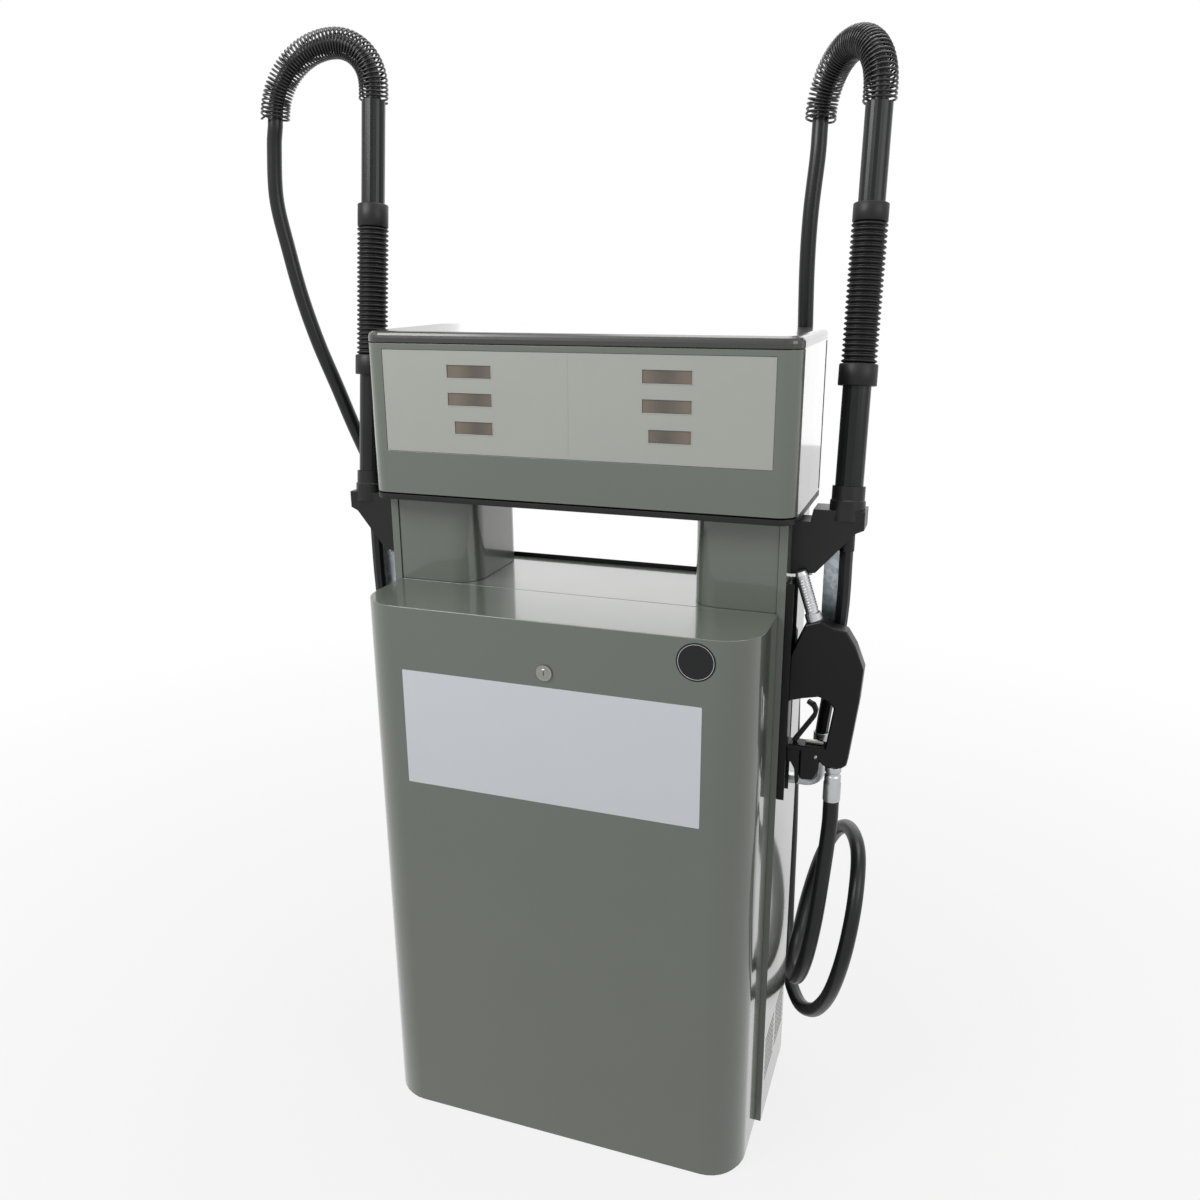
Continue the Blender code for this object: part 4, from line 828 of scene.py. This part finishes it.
# whiter away from the foot of the pump, so the far edge is lost
spot = addNode(tree, "ShaderNodeTexCoord")
away = addNode(tree, "ShaderNodeVectorMath", {0: spot.outputs["Object"]}, operation="LENGTH")
fade = addNode(tree, "ShaderNodeMapRange", {
    "Value": away.outputs["Value"], "From Min": studio["fade"][0], "From Max": studio["fade"][1],
    "To Min": studio["floorWhite"], "To Max": 1.0,
})
shown = addNode(tree, "ShaderNodeMath",
                {0: rays.outputs["Is Camera Ray"], 1: rays.outputs["Is Glossy Ray"]},
                operation="MAXIMUM")
share = addNode(tree, "ShaderNodeMath", {0: shown.outputs[0], 1: fade.outputs["Result"]},
                operation="MULTIPLY")
mix = addNode(tree, "ShaderNodeMixShader",
              {0: share.outputs[0], 1: shader.outputs[0], 2: glow.outputs[0]})
tree.links.new(mix.outputs[0], tree.nodes["Material Output"].inputs["Surface"])
floorMesh.materials.append(paper)
floor = bpy.data.objects.new("floor", floorMesh)
floor.location.z = -studio["floorDrop"]
bpy.context.scene.collection.objects.link(floor)

world = bpy.data.worlds.new("studio")
bpy.context.scene.world = world
world.use_nodes = True
tree = world.node_tree
tree.nodes.clear()
rays = addNode(tree, "ShaderNodeLightPath")
sky = addNode(tree, "ShaderNodeBackground", {"Color": (1, 1, 1, 1), "Strength": studio["sky"]})
white = addNode(tree, "ShaderNodeBackground", {"Color": (1, 1, 1, 1), "Strength": studio["white"]})
seen = addNode(tree, "ShaderNodeMath",
               {0: rays.outputs["Is Camera Ray"], 1: rays.outputs["Is Glossy Ray"]},
               operation="MAXIMUM")
both = addNode(tree, "ShaderNodeMixShader",
               {0: seen.outputs[0], 1: sky.outputs[0], 2: white.outputs[0]})
addNode(tree, "ShaderNodeOutputWorld", {"Surface": both.outputs[0]})

# soft square lamps: place, aim and size in metres
lamps = {
    "keyLamp": {"place": (-1.7, -2.1, 3.5), "aim": (0, 0, 1.25), "size": 1.8, "watts": 105},
    "fillLamp": {"place": (2.9, -1.3, 2.7), "aim": (0, 0, 1.25), "size": 2.2, "watts": 42},
    "backLamp": {"place": (-0.3, 4.2, 2.5), "aim": (0, 0, 1.0), "size": 4.2, "watts": 40},
    "topLamp": {"place": (0.2, 0.9, 3.9), "aim": (0, 0, 1.0), "size": 2.0, "watts": 60},
}
for name, lamp in lamps.items():
    light = bpy.data.lights.new(name, "AREA")
    light.size = lamp["size"]
    light.energy = lamp["watts"]
    holder = bpy.data.objects.new(name, light)
    holder.location = lamp["place"]
    aim = Vector(lamp["aim"]) - Vector(lamp["place"])
    holder.rotation_euler = aim.to_track_quat("-Z", "Y").to_euler()
    bpy.context.scene.collection.objects.link(holder)

settings = bpy.context.scene.view_settings
settings.view_transform = "Standard"
print("stage lit")
